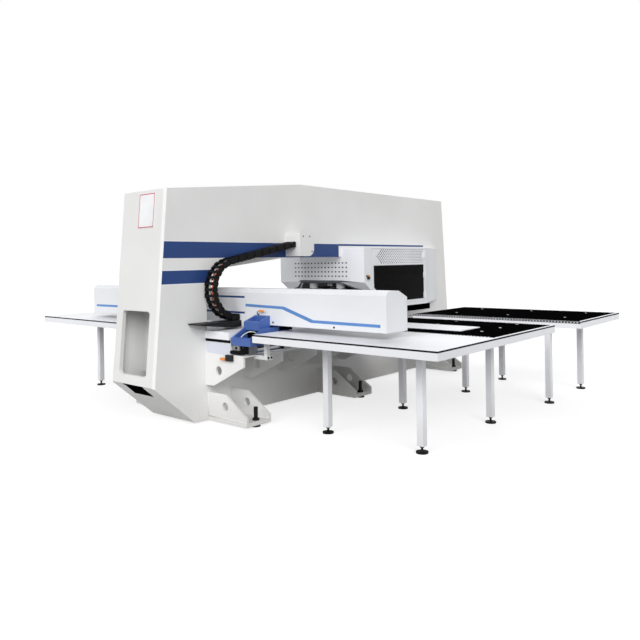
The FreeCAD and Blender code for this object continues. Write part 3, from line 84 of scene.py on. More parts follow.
GUARD_FALL = 0.340 / 0.470                    # slope of the guard's underside
COVER_LOW, COVER_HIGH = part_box("near_beam_cover")
COVER_FACE = COVER_LOW.y

CAMERA_PLACE = (5.4556, -6.2298, 1.5910)
CAMERA_TURN, CAMERA_ROLL = 40.867, -0.914     # degrees about Z, and about the way that it looks
CAMERA_SHIFT = -0.0907                        # the lens moved down, as a share of the picture
LAMP_SPREAD = 38                              # degrees over which a lamp's light comes in
FLOOR_HALF, FLOOR_SHADE = 60, 0.42

X, Y, Z = Vector((1, 0, 0)), Vector((0, 1, 0)), Vector((0, 0, 1))
SIDES = (("near", 1), ("far", -1))


def run(distance):
    """Y of a distance measured from the frame's top back edge."""
    return BACK + distance


def tone(red, green, blue):
    """A colour written as it looks on a screen, 0 to 255, as the shader needs it."""
    def linear(part):
        part /= 255
        return part / 12.92 if part <= 0.04045 else ((part + 0.055) / 1.055) ** 2.4
    return linear(red), linear(green), linear(blue)


def scaled(base, factor):
    """The colour made darker or lighter."""
    return tuple(min(1.0, part * factor) for part in base)


# ---------------------------------------------------------------- settings

def colour(name, description, red, green, blue):
    return FloatVectorProperty(name=name, description=description, subtype="COLOR", size=3, min=0, max=1,
                               default=tone(red, green, blue))


def length(name, description, default, low=0.0, high=10.0):
    return FloatProperty(name=name, description=description, default=default, min=low, max=high,
                         unit="LENGTH", subtype="DISTANCE", precision=4)


def light(name, description, default, high=2.0):
    return FloatProperty(name=name, description=description, default=default, min=0, max=high,
                         subtype="FACTOR", precision=3)


class PressColours(PropertyGroup):
    """Colours of the press."""
    frame: colour("Frame", "Paint of the welded frame", 233, 233, 232)
    cover: colour("Covers", "Paint of the beam covers and the guard", 229, 231, 234)
    table: colour("Tables", "Paint of the table trays and legs", 239, 240, 244)
    saddle: colour("Saddles", "Paint of the two saddles", 66, 98, 166)
    line: colour("Frame lines", "Wide painted lines along the frame", 40, 68, 124)
    light_line: colour("Cover lines", "Cranked lines along the beam covers", 92, 138, 198)
    border: colour("Line borders", "Edge of the painted lines", 240, 241, 243)
    plate_edge: colour("Plate border", "Thin line round the blank plate", 196, 84, 100)
    signal: colour("Signal orange", "Flags of the switches and the pipe tag", 236, 138, 40)
    cable: colour("Cable", "Jacket of the moving cables", 238, 116, 70)
    black: colour("Black", "Plastic and rubber parts", 14, 14, 15)
    bristle: colour("Bristles", "Brush fields of the tables", 11, 11, 12)
    steel: colour("Steel", "Ground rails and rods", 176, 178, 182)
    iron: colour("Turret iron", "Turned faces of the turrets", 74, 76, 80)


class PressSizes(PropertyGroup):
    """Sizes of the parts that this file adds."""
    upper_line_low: length("Upper line, low edge", "Height of the upper line's low edge", 1.650)
    upper_line_high: length("Upper line, high edge", "Height of the upper line's high edge", 1.812)
    lower_line_low: length("Lower line, low edge", "Height of the lower line's low edge", 1.400)
    lower_line_high: length("Lower line, high edge", "Height of the lower line's high edge", 1.529)
    line_border: length("Line border", "Width of the pale edge of the frame's lines", 0.010)
    film: length("Film", "Thickness of the painted lines", 0.0003, 0.0001, 0.002)
    cover_line: length("Cover line", "Height of the cranked line", 0.027)
    tuft_pitch: length("Tuft pitch", "Distance between bristle tufts", 0.025, 0.015, 0.1)
    tuft_radius: length("Tuft radius", "Radius of a tuft at its top", 0.0095, 0.002, 0.03)
    ball_radius: length("Ball radius", "Radius of the balls in the brush fields", 0.011, 0.002, 0.03)
    soft_edge: length("Soft edge", "Radius that the paint gives to sharp edges", 0.003, 0.0, 0.02)
    weld_bead: length("Weld bead", "Radius of the beads along welded plates", 0.005, 0.001, 0.02)


class PressStage(PropertyGroup):
    """Light and floor."""
    world: light("Room light", "Even light; 1 lights a white wall fully", 0.29)
    key: light("Key lamp", "Light from the near side; 1 lights a facing wall fully", 0.55)
    end: light("End lamp", "Light from the closed end; 1 lights a facing wall fully", 0.41)
    fill: light("Fill lamp", "Light from the turret end; 1 lights a facing wall fully", 0.28)
    glow: light("Floor glow", "Share of white that the camera adds to the floor", 0.70, 1.0)
    lens: FloatProperty(name="Lens", description="Focal length of the camera in millimetres", default=36.01,
                        min=10, max=200)
    seed: IntProperty(name="Seed", description="Seed of the bristle tufts", default=7, min=0)


# ---------------------------------------------------------------- finishes

class Value:
    """A shader socket that takes part in arithmetic; each step adds a Math node."""

    def __init__(self, nodes, socket):
        self.nodes = nodes
        self.socket = socket

    def _math(self, operation, left, right):
        return self.nodes.node("ShaderNodeMath", {"operation": operation}, {0: left, 1: right})

    def __add__(self, other):
        return self._math("ADD", self, other)

    def __radd__(self, other):
        return self._math("ADD", other, self)

    def __sub__(self, other):
        return self._math("SUBTRACT", self, other)

    def __rsub__(self, other):
        return self._math("SUBTRACT", other, self)

    def __mul__(self, other):
        return self._math("MULTIPLY", self, other)

    def __pow__(self, other):
        return self._math("POWER", self, other)

    def other(self, name):
        """Another output of the same node."""
        return Value(self.nodes, self.socket.node.outputs[name])


class Nodes:
    """A node tree and the calls that build it."""

    def __init__(self, tree):
        self.tree = tree

    def feed(self, socket, value):
        """Link a Value to a socket, or set the socket's own value."""
        if isinstance(value, Value):
            self.tree.links.new(value.socket, socket)
        elif socket.type == "RGBA":
            socket.default_value = (*tuple(value)[:3], 1.0)
        else:
            socket.default_value = value

    def node(self, kind, settings=None, values=None, output=0):
        """Add a node: its settings first, then the values or links of its sockets."""
        node = self.tree.nodes.new(kind)
        for name, value in (settings or {}).items():
            setattr(node, name, value)
        for name, value in (values or {}).items():
            self.feed(node.inputs[name], value)
        return Value(self, node.outputs[output])

    def shown(self):
        """Over 0 for the rays that show the background: straight, mirrored or passed through."""
        path = self.node("ShaderNodeLightPath", output="Is Camera Ray")
        return path + path.other("Is Glossy Ray") + path.other("Is Transmission Ray")


class Finish(Nodes):
    """A material and the patterns that its parts share."""

    def __init__(self, name, base, roughness, metallic=0.0, alpha=1.0, specular=0.5):
        self.material = bpy.data.materials.new(name)
        self.material.use_nodes = True
        super().__init__(self.material.node_tree)
        self.shader = self.tree.nodes["Principled BSDF"]
        self.shade({"Base Color": tuple(base), "Roughness": roughness, "Metallic": metallic, "Alpha": alpha,
                    "Specular IOR Level": specular})
        self.place = self.node("ShaderNodeTexCoord", output="Object")

    def shade(self, values):
        for name, value in values.items():
            self.feed(self.shader.inputs[name], value)

    def axis(self, name):
        return self.node("ShaderNodeSeparateXYZ", None, {0: self.place}, name)

    def noise(self, scale, detail=2.0, stretch=(1, 1, 1)):
        spot = self.node("ShaderNodeVectorMath", {"operation": "MULTIPLY"}, {0: self.place, 1: stretch})
        return self.node("ShaderNodeTexNoise", None, {"Vector": spot, "Scale": scale, "Detail": detail})

    def mask(self, value, low, high):
        """0 below low, 1 above high, smooth between them."""
        return self.node("ShaderNodeMapRange", {"interpolation_type": "SMOOTHSTEP"},
                         {"Value": value, "From Min": low, "From Max": high})

    def mix(self, share, first, second):
        return self.node("ShaderNodeMix", {"data_type": "RGBA"}, {0: share, 6: first, 7: second}, 2)

    def clouded(self, base, cloud, low, high, dark, pale):
        """The base colour, from a dark shade of it to a pale one along the cloud."""
        return self.mix(self.mask(cloud, low, high), scaled(base, dark), scaled(base, pale))

    def soft_edge(self, radius):
        return self.node("ShaderNodeBevel", {"samples": 4}, {"Radius": radius})

    def bump(self, height, distance, strength=1.0, normal=None):
        values = {"Height": height, "Distance": distance, "Strength": strength}
        if normal is not None:
            values["Normal"] = normal
        return self.node("ShaderNodeBump", None, values)

    def skin(self, tint, roughness, relief, depth, strength, edge=None):
        """Give the surface its colour, roughness and relief; edge is the radius that rounds sharp edges."""
        rounded = None if edge is None else self.soft_edge(edge)
        self.shade({"Base Color": tint, "Roughness": roughness,
                    "Normal": self.bump(relief, depth, strength, rounded)})
        return self.material


def paint(name, base, roughness=0.36, dust=0.35, edge=0.003):
    """Powder coat: faint clouding, orange peel, dust near the floor and soft edges."""
    finish = Finish(name, base, roughness)
    cloud = finish.noise(1.1, 3)
    grain = finish.noise(55, 4)
    peel = finish.noise(330, 1)
    low = 1.0 - finish.mask(finish.axis("Z"), 0.02, 0.42)
    dusty = low * finish.mask(cloud + grain * 0.25, 0.42, 0.86) * dust
    even = finish.clouded(base, cloud, 0.30, 0.70, 0.955, 1.02)
    fine = finish.mix(finish.mask(grain, 0.62, 0.80) * 0.10, even, scaled(base, 0.80))
    return finish.skin(finish.mix(dusty, fine, tone(150, 142, 128)), roughness + cloud * 0.12 + dusty * 0.35,
                       peel, 0.0004, 0.35, edge)


def paint_with_shaded_inside(name, base, painted_shade, edge):
    """Paint outside and black painted shade on the guard's inner faces, with a faint mottle, told apart by
    their place.
    """
    roughness = 0.36
    finish = Finish(name, base, roughness)
    cloud = finish.noise(1.1, 3)
    peel = finish.noise(330, 1)
    shade_mottle = finish.noise(160, 3)
    across, ahead, up = finish.axis("X"), finish.axis("Y"), finish.axis("Z")
    sheet, fade, half, front = 0.0135, 0.0010, GUARD_INNER ** 2, run(4.076)
    depth = (ahead - GUARD_LOW.y) * GUARD_FALL + up - GUARD_BEND
    # inside marks the guard's inner faces, which are painted black as shade
    inside = (finish.mask(depth, 0.0150, 0.0170)
              * finish.mask(ahead, GUARD_LOW.y + sheet, GUARD_LOW.y + sheet + fade)
              * finish.mask(across * across, half + 0.0012, half + 0.0004)
              * finish.mask(up, GUARD_HIGH.z - sheet, GUARD_HIGH.z - sheet - fade)
              * finish.mask(ahead, front, front - 0.004))
    even = finish.clouded(base, cloud, 0.30, 0.70, 0.955, 1.02)
    black = finish.mix(shade_mottle, scaled(painted_shade, 0.6), scaled(painted_shade, 1.6))
    return finish.skin(finish.mix(inside, even, black), roughness + cloud * 0.12 + inside * 0.45,
                       peel, 0.0004, 0.35, edge)


def film(name, base, roughness=0.30):
    """Thin painted line: even colour with a slight unevenness of gloss."""
    finish = Finish(name, base, roughness, specular=0.25)
    cloud = finish.noise(2.6, 3)
    peel = finish.noise(300, 1)
    return finish.skin(finish.clouded(base, cloud, 0.3, 0.7, 0.92, 1.06), roughness + cloud * 0.14,
                       peel, 0.0004, 0.3)


def metal(name, base, roughness=0.30, stretch=(1, 60, 60), edge=0.0015, metallic=1.0):
    """Ground steel: fine lines along one axis, smears of oil and soft edges."""
    finish = Finish(name, base, roughness, metallic)
    lines = finish.noise(9, 3, stretch)
    smear = finish.noise(6, 3)
    oily = roughness + lines * 0.14 + finish.mask(smear, 0.5, 0.8) * 0.16
    return finish.skin(finish.clouded(base, lines, 0.3, 0.7, 0.82, 1.12), oily, lines, 0.0003, 0.3, edge)


def oxide(name, base, roughness=0.45):
    """Black oxide steel: oily, a little brown where it is worn."""
    finish = Finish(name, base, roughness, 0.7)
    cloud = finish.noise(28, 4)
    grit = finish.noise(420, 2)
    worn = finish.mask(cloud, 0.56, 0.78)
    return finish.skin(finish.mix(worn * 0.6, base, tone(74, 66, 60)), roughness + cloud * 0.2 - worn * 0.1,
                       grit, 0.0004, 0.3, 0.0015)


def turned(name, base, centre_y):
    """Turned iron: rings round the turret's axis, with a haze of oil."""
    finish = Finish(name, base, 0.34, 1.0)
    across = finish.axis("X")
    ahead = finish.axis("Y") - centre_y
    radius = (across * across + ahead * ahead) ** 0.5
    rings = finish.node("ShaderNodeMath", {"operation": "SINE"}, {0: radius * 1400.0})
    cloud = finish.noise(7, 4)
    relief = rings * 0.5 + cloud * 0.5
    return finish.skin(finish.clouded(base, cloud, 0.4, 0.75, 0.7, 1.1), 0.26 + cloud * 0.24,
                       relief, 0.0003, 0.35, 0.002)


def plastic(name, base, roughness=0.42, specular=0.35):
    """Moulded plastic: a fine pebble grain and a little fading."""
    finish = Finish(name, base, roughness, specular=specular)
    pebble = finish.noise(700, 2)
    cloud = finish.noise(16, 3)
    return finish.skin(finish.mix(finish.mask(cloud, 0.4, 0.8) * 0.6, base, scaled(base, 1.7)),
                       roughness + cloud * 0.16, pebble, 0.0003, 0.5, 0.001)


def bristles(name, base):
    """Bundled nylon: painted highlights on the tips and painted shade in the gaps that show from above,
    streaks that show from the side.
    """
    finish = Finish(name, base, 0.62, specular=0.0)
    tips = finish.noise(620, 2, (1, 1, 0.12))
    bundle = finish.noise(24, 3)
    # Tips painted lighter as highlights, gaps painted darker as shade
    painted_light = finish.mask(tips, 0.48, 0.66) * 0.7 + finish.mask(bundle, 0.5, 0.8) * 0.2
    return finish.skin(finish.mix(painted_light, scaled(base, 0.5), scaled(base, 2.3)), 0.5 + tips * 0.3,
                       tips, 0.0015, 0.8)


def pane(name):
    """Smoked polycarbonate: dark, glossy, with fine wipe marks."""
    finish = Finish(name, tone(4, 4, 5), 0.12, alpha=0.86, specular=0.03)
    wipe = finish.noise(14, 3, (1, 1, 6))
    finish.shade({"Roughness": 0.05 + finish.mask(wipe, 0.5, 0.8) * 0.12,
                  "Base Color": finish.mix(finish.mask(wipe, 0.45, 0.8), tone(3, 3, 4), tone(9, 9, 10))})
    return finish.material


# ---------------------------------------------------------------- mesh tools

def make(name, body, finishes, build, smooth=False):
    """One piece: build fills its mesh, and it rides on a body of the press."""
    mesh = bpy.data.meshes.new(name)
    work = bmesh.new()
    build(work)
    bmesh.ops.recalc_face_normals(work, faces=work.faces)
    for face in work.faces:
        face.smooth = smooth
    work.to_mesh(mesh)
    work.free()
    piece = bpy.data.objects.new(name, mesh)
    bpy.context.scene.collection.objects.link(piece)
    for finish in finishes if isinstance(finishes, (list, tuple)) else [finishes]:
        mesh.materials.append(finish)
    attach(piece, body)
    return piece


def plates(name, body, finish, parts):
    """A piece of flat plates, each an outline, its axis and its two planes."""
    def build(work):
        for part in parts:
            slab(work, *part)
    make(name, body, finish, build)


def flat(name, body, slot, finish, *part):
    """A piece that is one flat plate."""
    plates(name, body, finish, [part])


def coat(finish, *nodes):
    """Give carried-over nodes their finish."""
    for name in nodes:
        for spot in frame["nodes"][name].material_slots:
            spot.material = finish


def both(name):
    """The near and the far node of a pair."""
    return f"near_{name}", f"far_{name}"


def screw_finishes(tones, head, recess):
    """Black steel for the heads of cap screws, and a darker finish for their recesses."""
    return [oxide(head, tones.black), plastic(recess, scaled(tones.black, 0.4))]


def cap_screws(name, body, finishes, spots, direction, size):
    """A piece of like cap screws."""
    def build(work):
        for spot in spots:
            cap_screw(work, spot, direction, size)
    make(name, body, finishes, build)


def loft(work, rows, index=0):
    """A closed skin over rows of as many points."""
    faces = [work.faces.new(rows[0]), work.faces.new(rows[-1])]
    for low, high in zip(rows, rows[1:]):
        for k in range(len(low)):
            j = (k + 1) % len(low)
            faces.append(work.faces.new((low[k], low[j], high[j], high[k])))
    for face in faces:
        face.material_index = index


def slab(work, outline, axis, low, high, index=0):
    """A flat plate: an outline of the two axes other than `axis`, between two planes."""
    def corner(a, b, level):
        return {"X": (level, a, b), "Y": (a, level, b), "Z": (a, b, level)}[axis]
    loft(work, [[work.verts.new(corner(a, b, level)) for a, b in outline] for level in (low, high)], index)


def band(work, outer, inner, axis, low, high):
    """A flat band between two outlines of as many corners."""
    for i in range(len(outer)):
        j = (i + 1) % len(outer)
        slab(work, [outer[i], outer[j], inner[j], inner[i]], axis, low, high)


def box_outline(a0, b0, a1, b1):
    return [(a0, b0), (a1, b0), (a1, b1), (a0, b1)]


def mirrored(outline):
    return [(-a, b) for a, b in reversed(outline)]


def sided(outline, side):
    """The outline as it is written on the near side, mirrored on the far side."""
    return outline if side > 0 else mirrored(outline)


def inset(outline, distance):
    """The outline moved inwards; it runs anticlockwise."""
    moved = []
    count = len(outline)
    for i in range(count):
        before, here, after = (Vector(outline[k % count]) for k in (i - 1, i, i + 1))
        first, second = (here - before).normalized(), (after - here).normalized()
        left, right = Vector((-first.y, first.x)), Vector((-second.y, second.x))
        step = (left + right) * (distance / (1 + left.dot(right)))
        moved.append(tuple(here + step))
    return moved


def circle(work, centre, direction, radius, sides, height=0.0, start=0.0):
    """A round or many-sided row of points across a direction."""
    turned_to = direction.to_track_quat("Z", "Y").to_matrix()
    row = []
    for k in range(sides):
        angle = start + 2 * math.pi * k / sides
        spot = turned_to @ Vector((radius * math.cos(angle), radius * math.sin(angle), height))
        row.append(work.verts.new(Vector(centre) + spot))
    return row


def turn(work, centre, direction, rings, sides, start=0.0, index=0):
    """A turned or many-sided boss: rings of (radius, height) along a direction."""
    rows = [circle(work, centre, direction, radius, sides, height, start) for radius, height in rings]
    loft(work, rows, index)


def tube(work, points, radius, sides=8):
    """A round bar swept along points."""
    rows = []
    for i, point in enumerate(points):
        ahead = Vector(points[min(i + 1, len(points) - 1)]) - Vector(points[max(i - 1, 0)])
        rows.append(circle(work, point, ahead, radius, sides))
    loft(work, rows)


def hex_bolt(work, centre, direction, size):
    """Washer and chamfered hexagon head; size is half of the head across its corners."""
    washer = [(size * 1.45, 0), (size * 1.45, size * 0.22), (size * 1.35, size * 0.3)]
    head = [(size, size * 0.3), (size, size * 1.0), (size * 0.86, size * 1.15)]
    turn(work, centre, direction, washer, 16)
    turn(work, centre, direction, head, 6)


def cap_screw(work, centre, direction, size):
    """Round cap head with its hexagon recess."""
    head = [(size, 0), (size, size * 0.85), (size * 0.9, size), (size * 0.52, size)]
    recess = [(size * 0.5, size * 0.9), (size * 0.5, size * 0.62)]
    turn(work, centre, direction, head, 18)
    turn(work, centre, direction, recess, 6, index=1)


def dome(work, centre, radius):
    """The cap of a ball over its collar, low enough for the clamps to pass."""
    collar = [(radius * 1.35, 0), (radius * 1.35, radius * 0.16), (radius * 1.2, radius * 0.22)]
    cap = [(radius * math.cos(a), radius * math.sin(a) * 0.34) for a in (0.15, 0.5, 0.85, 1.15, 1.4)]
    turn(work, centre, Z, collar, 16)
    turn(work, centre, Z, cap, 16)


# ---------------------------------------------------------------- pieces of the press

class PRESS_OT_stage(Operator):
    """Camera, floor, room light and three soft lamps"""
    bl_idname = "press.stage"
    bl_label = "Stage"

    def execute(self, context):
        settings = context.scene.press_stage
        self.camera(context, settings)
        self.floor(context, settings)
        self.room(context, settings)
        self.lamp(context, "key_lamp", (0.73, -0.50, 0.46), settings.key)
        self.lamp(context, "end_lamp", (0.08, -0.86, 0.50), settings.end)
        self.lamp(context, "fill_lamp", (-0.50, 0.60, 0.62), settings.fill)
        context.scene.view_settings.view_transform = "Standard"
        return {"FINISHED"}

    def camera(self, context, settings):
        data = bpy.data.cameras.new("camera")
        data.lens = settings.lens
        data.sensor_width = 36
        data.shift_y = CAMERA_SHIFT
        data.clip_end = 100
        item = bpy.data.objects.new("camera", data)
        level = Matrix.Rotation(math.radians(90), 4, "X")
        turned_by = Matrix.Rotation(math.radians(CAMERA_TURN), 4, "Z") @ level
        roll = Matrix.Rotation(math.radians(CAMERA_ROLL), 4, "Z")
        item.matrix_world = Matrix.Translation(CAMERA_PLACE) @ turned_by @ roll
        context.scene.collection.objects.link(item)
        context.scene.camera = item

    def floor(self, context, settings):
        finish = Finish("floor", [FLOOR_SHADE] * 3, 0.9, specular=0.0)
        cloud = finish.mask(finish.noise(0.4, 1), 0.2, 0.8)
        dark, pale = [FLOOR_SHADE - 0.01] * 3, [FLOOR_SHADE + 0.01] * 3
        finish.shade({"Base Color": finish.mix(cloud, dark, pale),
                      "Emission Color": finish.mix(finish.shown(), (0, 0, 0), (1, 1, 1)),
                      "Emission Strength": settings.glow})
        mesh = bpy.data.meshes.new("floor")
        corners = box_outline(-FLOOR_HALF, -FLOOR_HALF, FLOOR_HALF, FLOOR_HALF)
        mesh.from_pydata([(x, y, 0) for x, y in corners], [], [(0, 1, 2, 3)])
        mesh.materials.append(finish.material)
        item = bpy.data.objects.new("floor", mesh)
        context.scene.collection.objects.link(item)

    def room(self, context, settings):
        """Even light on the press, and full white where the background shows."""
        world = bpy.data.worlds.new("room")
        world.use_nodes = True
        nodes = Nodes(world.node_tree)
        strength = nodes.node("ShaderNodeMapRange", None, {"Value": nodes.shown(), "To Min": settings.world})
        plain = world.node_tree.nodes["Background"]
        nodes.feed(plain.inputs["Color"], (1, 1, 1))
        nodes.feed(plain.inputs["Strength"], strength)
        context.scene.world = world

    def lamp(self, context, name, towards, share):
        """A wide soft lamp, far off in one direction."""
        data = bpy.data.lights.new(name, "SUN")
        data.angle = math.radians(LAMP_SPREAD)
        data.energy = share * math.pi
        item = bpy.data.objects.new(name, data)
        item.matrix_world = Vector(towards).to_track_quat("Z", "Y").to_matrix().to_4x4()
        context.scene.collection.objects.link(item)


class PRESS_OT_frame(Operator):
    """Paint of the frame, its side lines, its blank plate, weld beads, levelling bolts and black sheets of
    painted shade in the back recess and the front slot
    """
    bl_idname = "press.frame"
    bl_label = "Frame"

    def execute(self, context):
        tones, sizes = context.scene.press_colours, context.scene.press_sizes
        body = paint("frame_paint", tones.frame, edge=sizes.soft_edge * 2)
        coat(body, "main_frame", "chain_box")
        coat(oxide("bolt_black", tones.black), "levelling_bolts")
        blue = film("line_blue", tones.line)
        pale = film("line_border", tones.border)
        for word, side in SIDES:
            self.lines(word, side, sizes, blue, pale)
            self.beads(word, side, sizes, body)
        self.plate(tones)
        self.box_screws(tones)
        # Matte black for painted shade inside the back recess and the front slot
        painted_shade = plastic("shade_black", scaled(tones.black, 0.5), 0.8, 0.0)
        self.recess_shade(painted_shade)
        self.slot(painted_shade)
        return {"FINISHED"}

    def lines(self, word, side, sizes, blue, pale):
        """The two wide lines with their pale borders, and the thin line over the guard."""
        corner, hair, thin_line_front = 0.0235, 0.001, 4.60
        haunch_end, haunch_run, haunch_rise = 1.650, 0.960, 0.105   # the arm's sloped underside
        guard = GUARD_LOW.y - 0.048

        def edge(z):
            return run(corner - (END_TOP - z) * END_SLOPE)

        def shoulder(z):
            return run(THROAT_BACK + (z - THROAT_SHOULDER) * 0.210 / 0.145 - hair)

        def level(name, slot, finish, lift, outline):
            near, far = side * (SIDE + lift), side * (SIDE + lift + sizes.film)
            flat(f"{word}_{name}", "frame", slot, finish, outline, "X", near, far)

        low, high, border = sizes.upper_line_low, sizes.upper_line_high, sizes.line_border
        under, over = low - border, high + border
        meet = run(haunch_end - border / haunch_rise * haunch_run)
        level("upper_border", "plate_white", pale, 0.0,
              [(edge(under), under), (meet, under), (run(haunch_end), low), (guard, low), (guard, over),
               (edge(over), over)])
        level("upper_line", "blue_paint", blue, sizes.film,
              [(edge(low), low), (guard, low), (guard, high), (edge(high), high)])
        level("thin_line", "blue_paint", blue, sizes.film,
              box_outline(guard, high - 0.022, run(thin_line_front), high + 0.002))

        low, high = sizes.lower_line_low, sizes.lower_line_high
        under, over = low - border, high + border
        throat = run(THROAT_BACK - hair)
        level("lower_border", "plate_white", pale, 0.0,
              [(edge(under), under), (throat, under), (throat, THROAT_SHOULDER), (shoulder(over), over),
               (edge(over), over)])
        level("lower_line", "blue_paint", blue, sizes.film,
              [(edge(low), low), (throat, low), (shoulder(high), high), (edge(high), high)])

    def beads(self, word, side, sizes, finish):
        """Weld beads where the foot plates meet the frame's side and their bases."""
        face, reach, plate_top = side * (SIDE + 0.001), side * (SIDE + 0.560), 0.295
        seams = (0.0, FOOT_PLATE, FOOT_DEPTH - FOOT_PLATE, FOOT_DEPTH)
        upright, lying = FOOT_BASE + 0.002, FOOT_BASE + 0.0005

        def build(work):
            for y in (run(start + seam) for start in FOOT_STARTS for seam in seams):
                tube(work, [(face, y, upright), (face, y, plate_top)], sizes.weld_bead)
                tube(work, [(face, y, lying), (reach, y, lying)], sizes.weld_bead)
        make(f"{word}_foot_beads", "frame", finish, build, smooth=True)

    def plate(self, tones):
        """Blank plate with a thin coloured border."""
        coat(film("plate_face", tones.border), "rear_plate")
        low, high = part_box("rear_plate")
        margin, width, thickness, sunk = 0.003, 0.009, 0.0004, 0.0003
        outer = box_outline(low.x + margin, low.z + margin, high.x - margin, high.z - margin)
        inner = inset(outer, width)

        def build(work):
            band(work, outer, inner, "Y", 0.0, thickness)
            for point in work.verts:
                point.co.y += low.y - sunk + (point.co.z - low.z) * END_SLOPE
        make("plate_border", "frame", film("plate_edge", tones.plate_edge), build)

    def recess_shade(self, finish):
        """Black sheets of painted shade inside the recess under the back end, and a black strip of painted
        shade on the slope at its edge.
        """
        half, skin, lip_end, lip_thickness = 0.1598, 0.0016, 0.1750, 0.0020
        back, front, lip_back = -0.150, -0.026, -0.168
        roof = END_FOOT - 0.0202
        ceiling, wall = roof - 0.002, run(front - 0.002)

        def slope(y):
            return END_FOOT - (y + END_LEAN) * (END_FOOT - FRAME_LOW.z) / CHAMFER_RUN

        cheek = [(run(back + 0.012), ceiling), (wall, slope(front)), (wall, ceiling)]
        lip = [(run(y), slope(y) + lift) for y, lift in ((lip_back, -lip_thickness), (back, -lip_thickness),
                                                         (back, 0.0005), (lip_back, 0.0005))]
        plates("recess_shade_sheets", "frame", finish, [
            (box_outline(-half, slope(front), half, roof), "Y", wall, run(front - 0.0004)),
            (box_outline(-half, run(back + 0.006), half, wall), "Z", ceiling, roof - 0.0002),
            *((cheek, "X", x, x + skin) for x in (-half, half - skin)),
            (lip, "X", -half, lip_end)])

    def slot(self, finish):
        """Black sheets of painted shade on the floor, roof and end of the slot in the front column."""
        floor, roof, back, front = 0.862, 0.946, run(4.110), run(4.770)
        half, hair, skin = SIDE - 0.0005, 0.0002, 0.0020

        level = box_outline(-half, back, half, front)
        plates("slot_shade_sheets", "frame", finish, [
            (level, "Z", floor + hair, floor + skin),
            (level, "Z", roof - 0.0016, roof - hair),
            (box_outline(-half, floor, half, roof), "Y", front - skin, front - hair)])

    def box_screws(self, tones):
        """Cap screws of the chain box."""
        low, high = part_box("chain_box")
        spots = [(high.x, low.y + along, low.z + height)
                 for along, height in ((0.055, 0.225), (0.165, 0.225), (0.200, 0.055))]
        finishes = screw_finishes(tones, "screw_black", "recess")
        cap_screws("chain_box_screws", "frame", finishes, spots, X, 0.007)


class PRESS_OT_beam(Operator):
    """Beam, its covers, their painted lines, plugs, joint strips and pipe tag"""
    bl_idname = "press.beam"
    bl_label = "Beam and covers"

    def execute(self, context):
        tones, sizes = context.scene.press_colours, context.scene.press_sizes
        coat(paint("cover_paint", tones.cover, dust=0.0, edge=sizes.soft_edge * 2), *both("beam_cover"),
             "middle_beam_cover")
        coat(paint("beam_grey", tone(70, 73, 78), 0.42, 0.0), "gantry_beam")
        coat(metal("rail_ground", tones.steel, 0.24), "x_rails")
        blue, pale_blue = film("dark_line", tones.line), film("light_line", tones.light_line)
        self.middle_lines(sizes, blue)
        for word, side in SIDES:
            self.cranked_line(word, side, sizes, pale_blue)
            self.plugs(word, side, tones)
        self.tag(tones)
        self.seams(tones)
        return {"FINISHED"}

    def middle_lines(self, sizes, finish):
        reach, half = 0.586, 0.010

        outlines = [box_outline(-reach, height - half, reach, height + half) for height in (1.245, 1.085)]
        plates("middle_cover_lines", "beam", finish,
               [(outline, "Y", COVER_FACE - sizes.film, COVER_FACE) for outline in outlines])

    def cranked_line(self, word, side, sizes, finish):
        """A line that falls to a lower level; its two bends are cut across the line."""
        low = 1.035 if side > 0 else 1.070
        bend_x, bend_z, fall = 1.131, 1.152, 3.2
        foot = bend_x + (bend_z - low) * fall
        points = [(0.600, bend_z + 0.011), (bend_x, bend_z), (foot, low + 0.004), (2.280, low)]
        half, lead = sizes.cover_line / 2, 0.014
        over = [(x + lead * (0 < i < 3), z + half) for i, (x, z) in enumerate(points)]
        under = [(x - lead * (0 < i < 3), z - half) for i, (x, z) in enumerate(points)]
        flat(f"{word}_cranked_line", "beam", "blue_paint", finish, sided(under + over[::-1], side), "Y",
             COVER_FACE - sizes.film, COVER_FACE)

    def plugs(self, word, side, tones):
        plug = [(0.010, 0), (0.010, 0.002), (0.008, 0.004)]

        def build(work):
            for x, z in ((0.991, 1.005), (1.768, 0.998)):
                turn(work, (side * x, COVER_FACE, z), -Y, plug, 18)
        finish = plastic(f"{word}_plug", tones.black)
        make(f"{word}_cover_plugs", "beam", finish, build, True)

    def tag(self, tones):
        """Bent pipe end with an orange tag on the near cover."""
        x, z, reach = 0.794, 1.079, 0.028
        bend = [(0, 0, 0), (0, 0.016, 0), (0.002, 0.026, 0.006), (0.006, reach, 0.018), (0.012, reach, 0.030),
                (0.024, reach, 0.036)]
        left, foot, right, head, corner = 0.826, 1.104, 0.892, 1.124, 0.006

        def pipe(work):
            tube(work, [(x + a, COVER_FACE - b, z + c) for a, b, c in bend], 0.0050, 10)
            turn(work, (x, COVER_FACE, z), -Y, [(0.012, 0), (0.012, 0.004), (0.010, 0.006)], 6)
        make("cover_pipe", "beam", metal("pipe_steel", tones.steel, 0.3), pipe, True)

        outline = [(left, foot + 0.002), (right - corner, foot), (right, foot + 0.005),
                   (right, head - corner), (right - corner, head - 0.001), (left, head)]
        flat("cover_tag", "beam", "cable_orange", plastic("signal_orange", tones.signal), outline, "Y",
             COVER_FACE - reach - 0.004, COVER_FACE - reach + 0.004)

    def seams(self, tones):
        """Dark joint strips between the three covers."""
        joint, half, foot, head = 0.5945, 0.0012, COVER_LOW.z + 0.002, COVER_HIGH.z - 0.045
        outlines = [box_outline(x - half, foot, x + half, head) for x in (joint, -joint)]
        plates("cover_seams", "beam", plastic("seam_black", tones.black),
               [(outline, "Y", COVER_FACE + 0.002, COVER_FACE + 0.008) for outline in outlines])


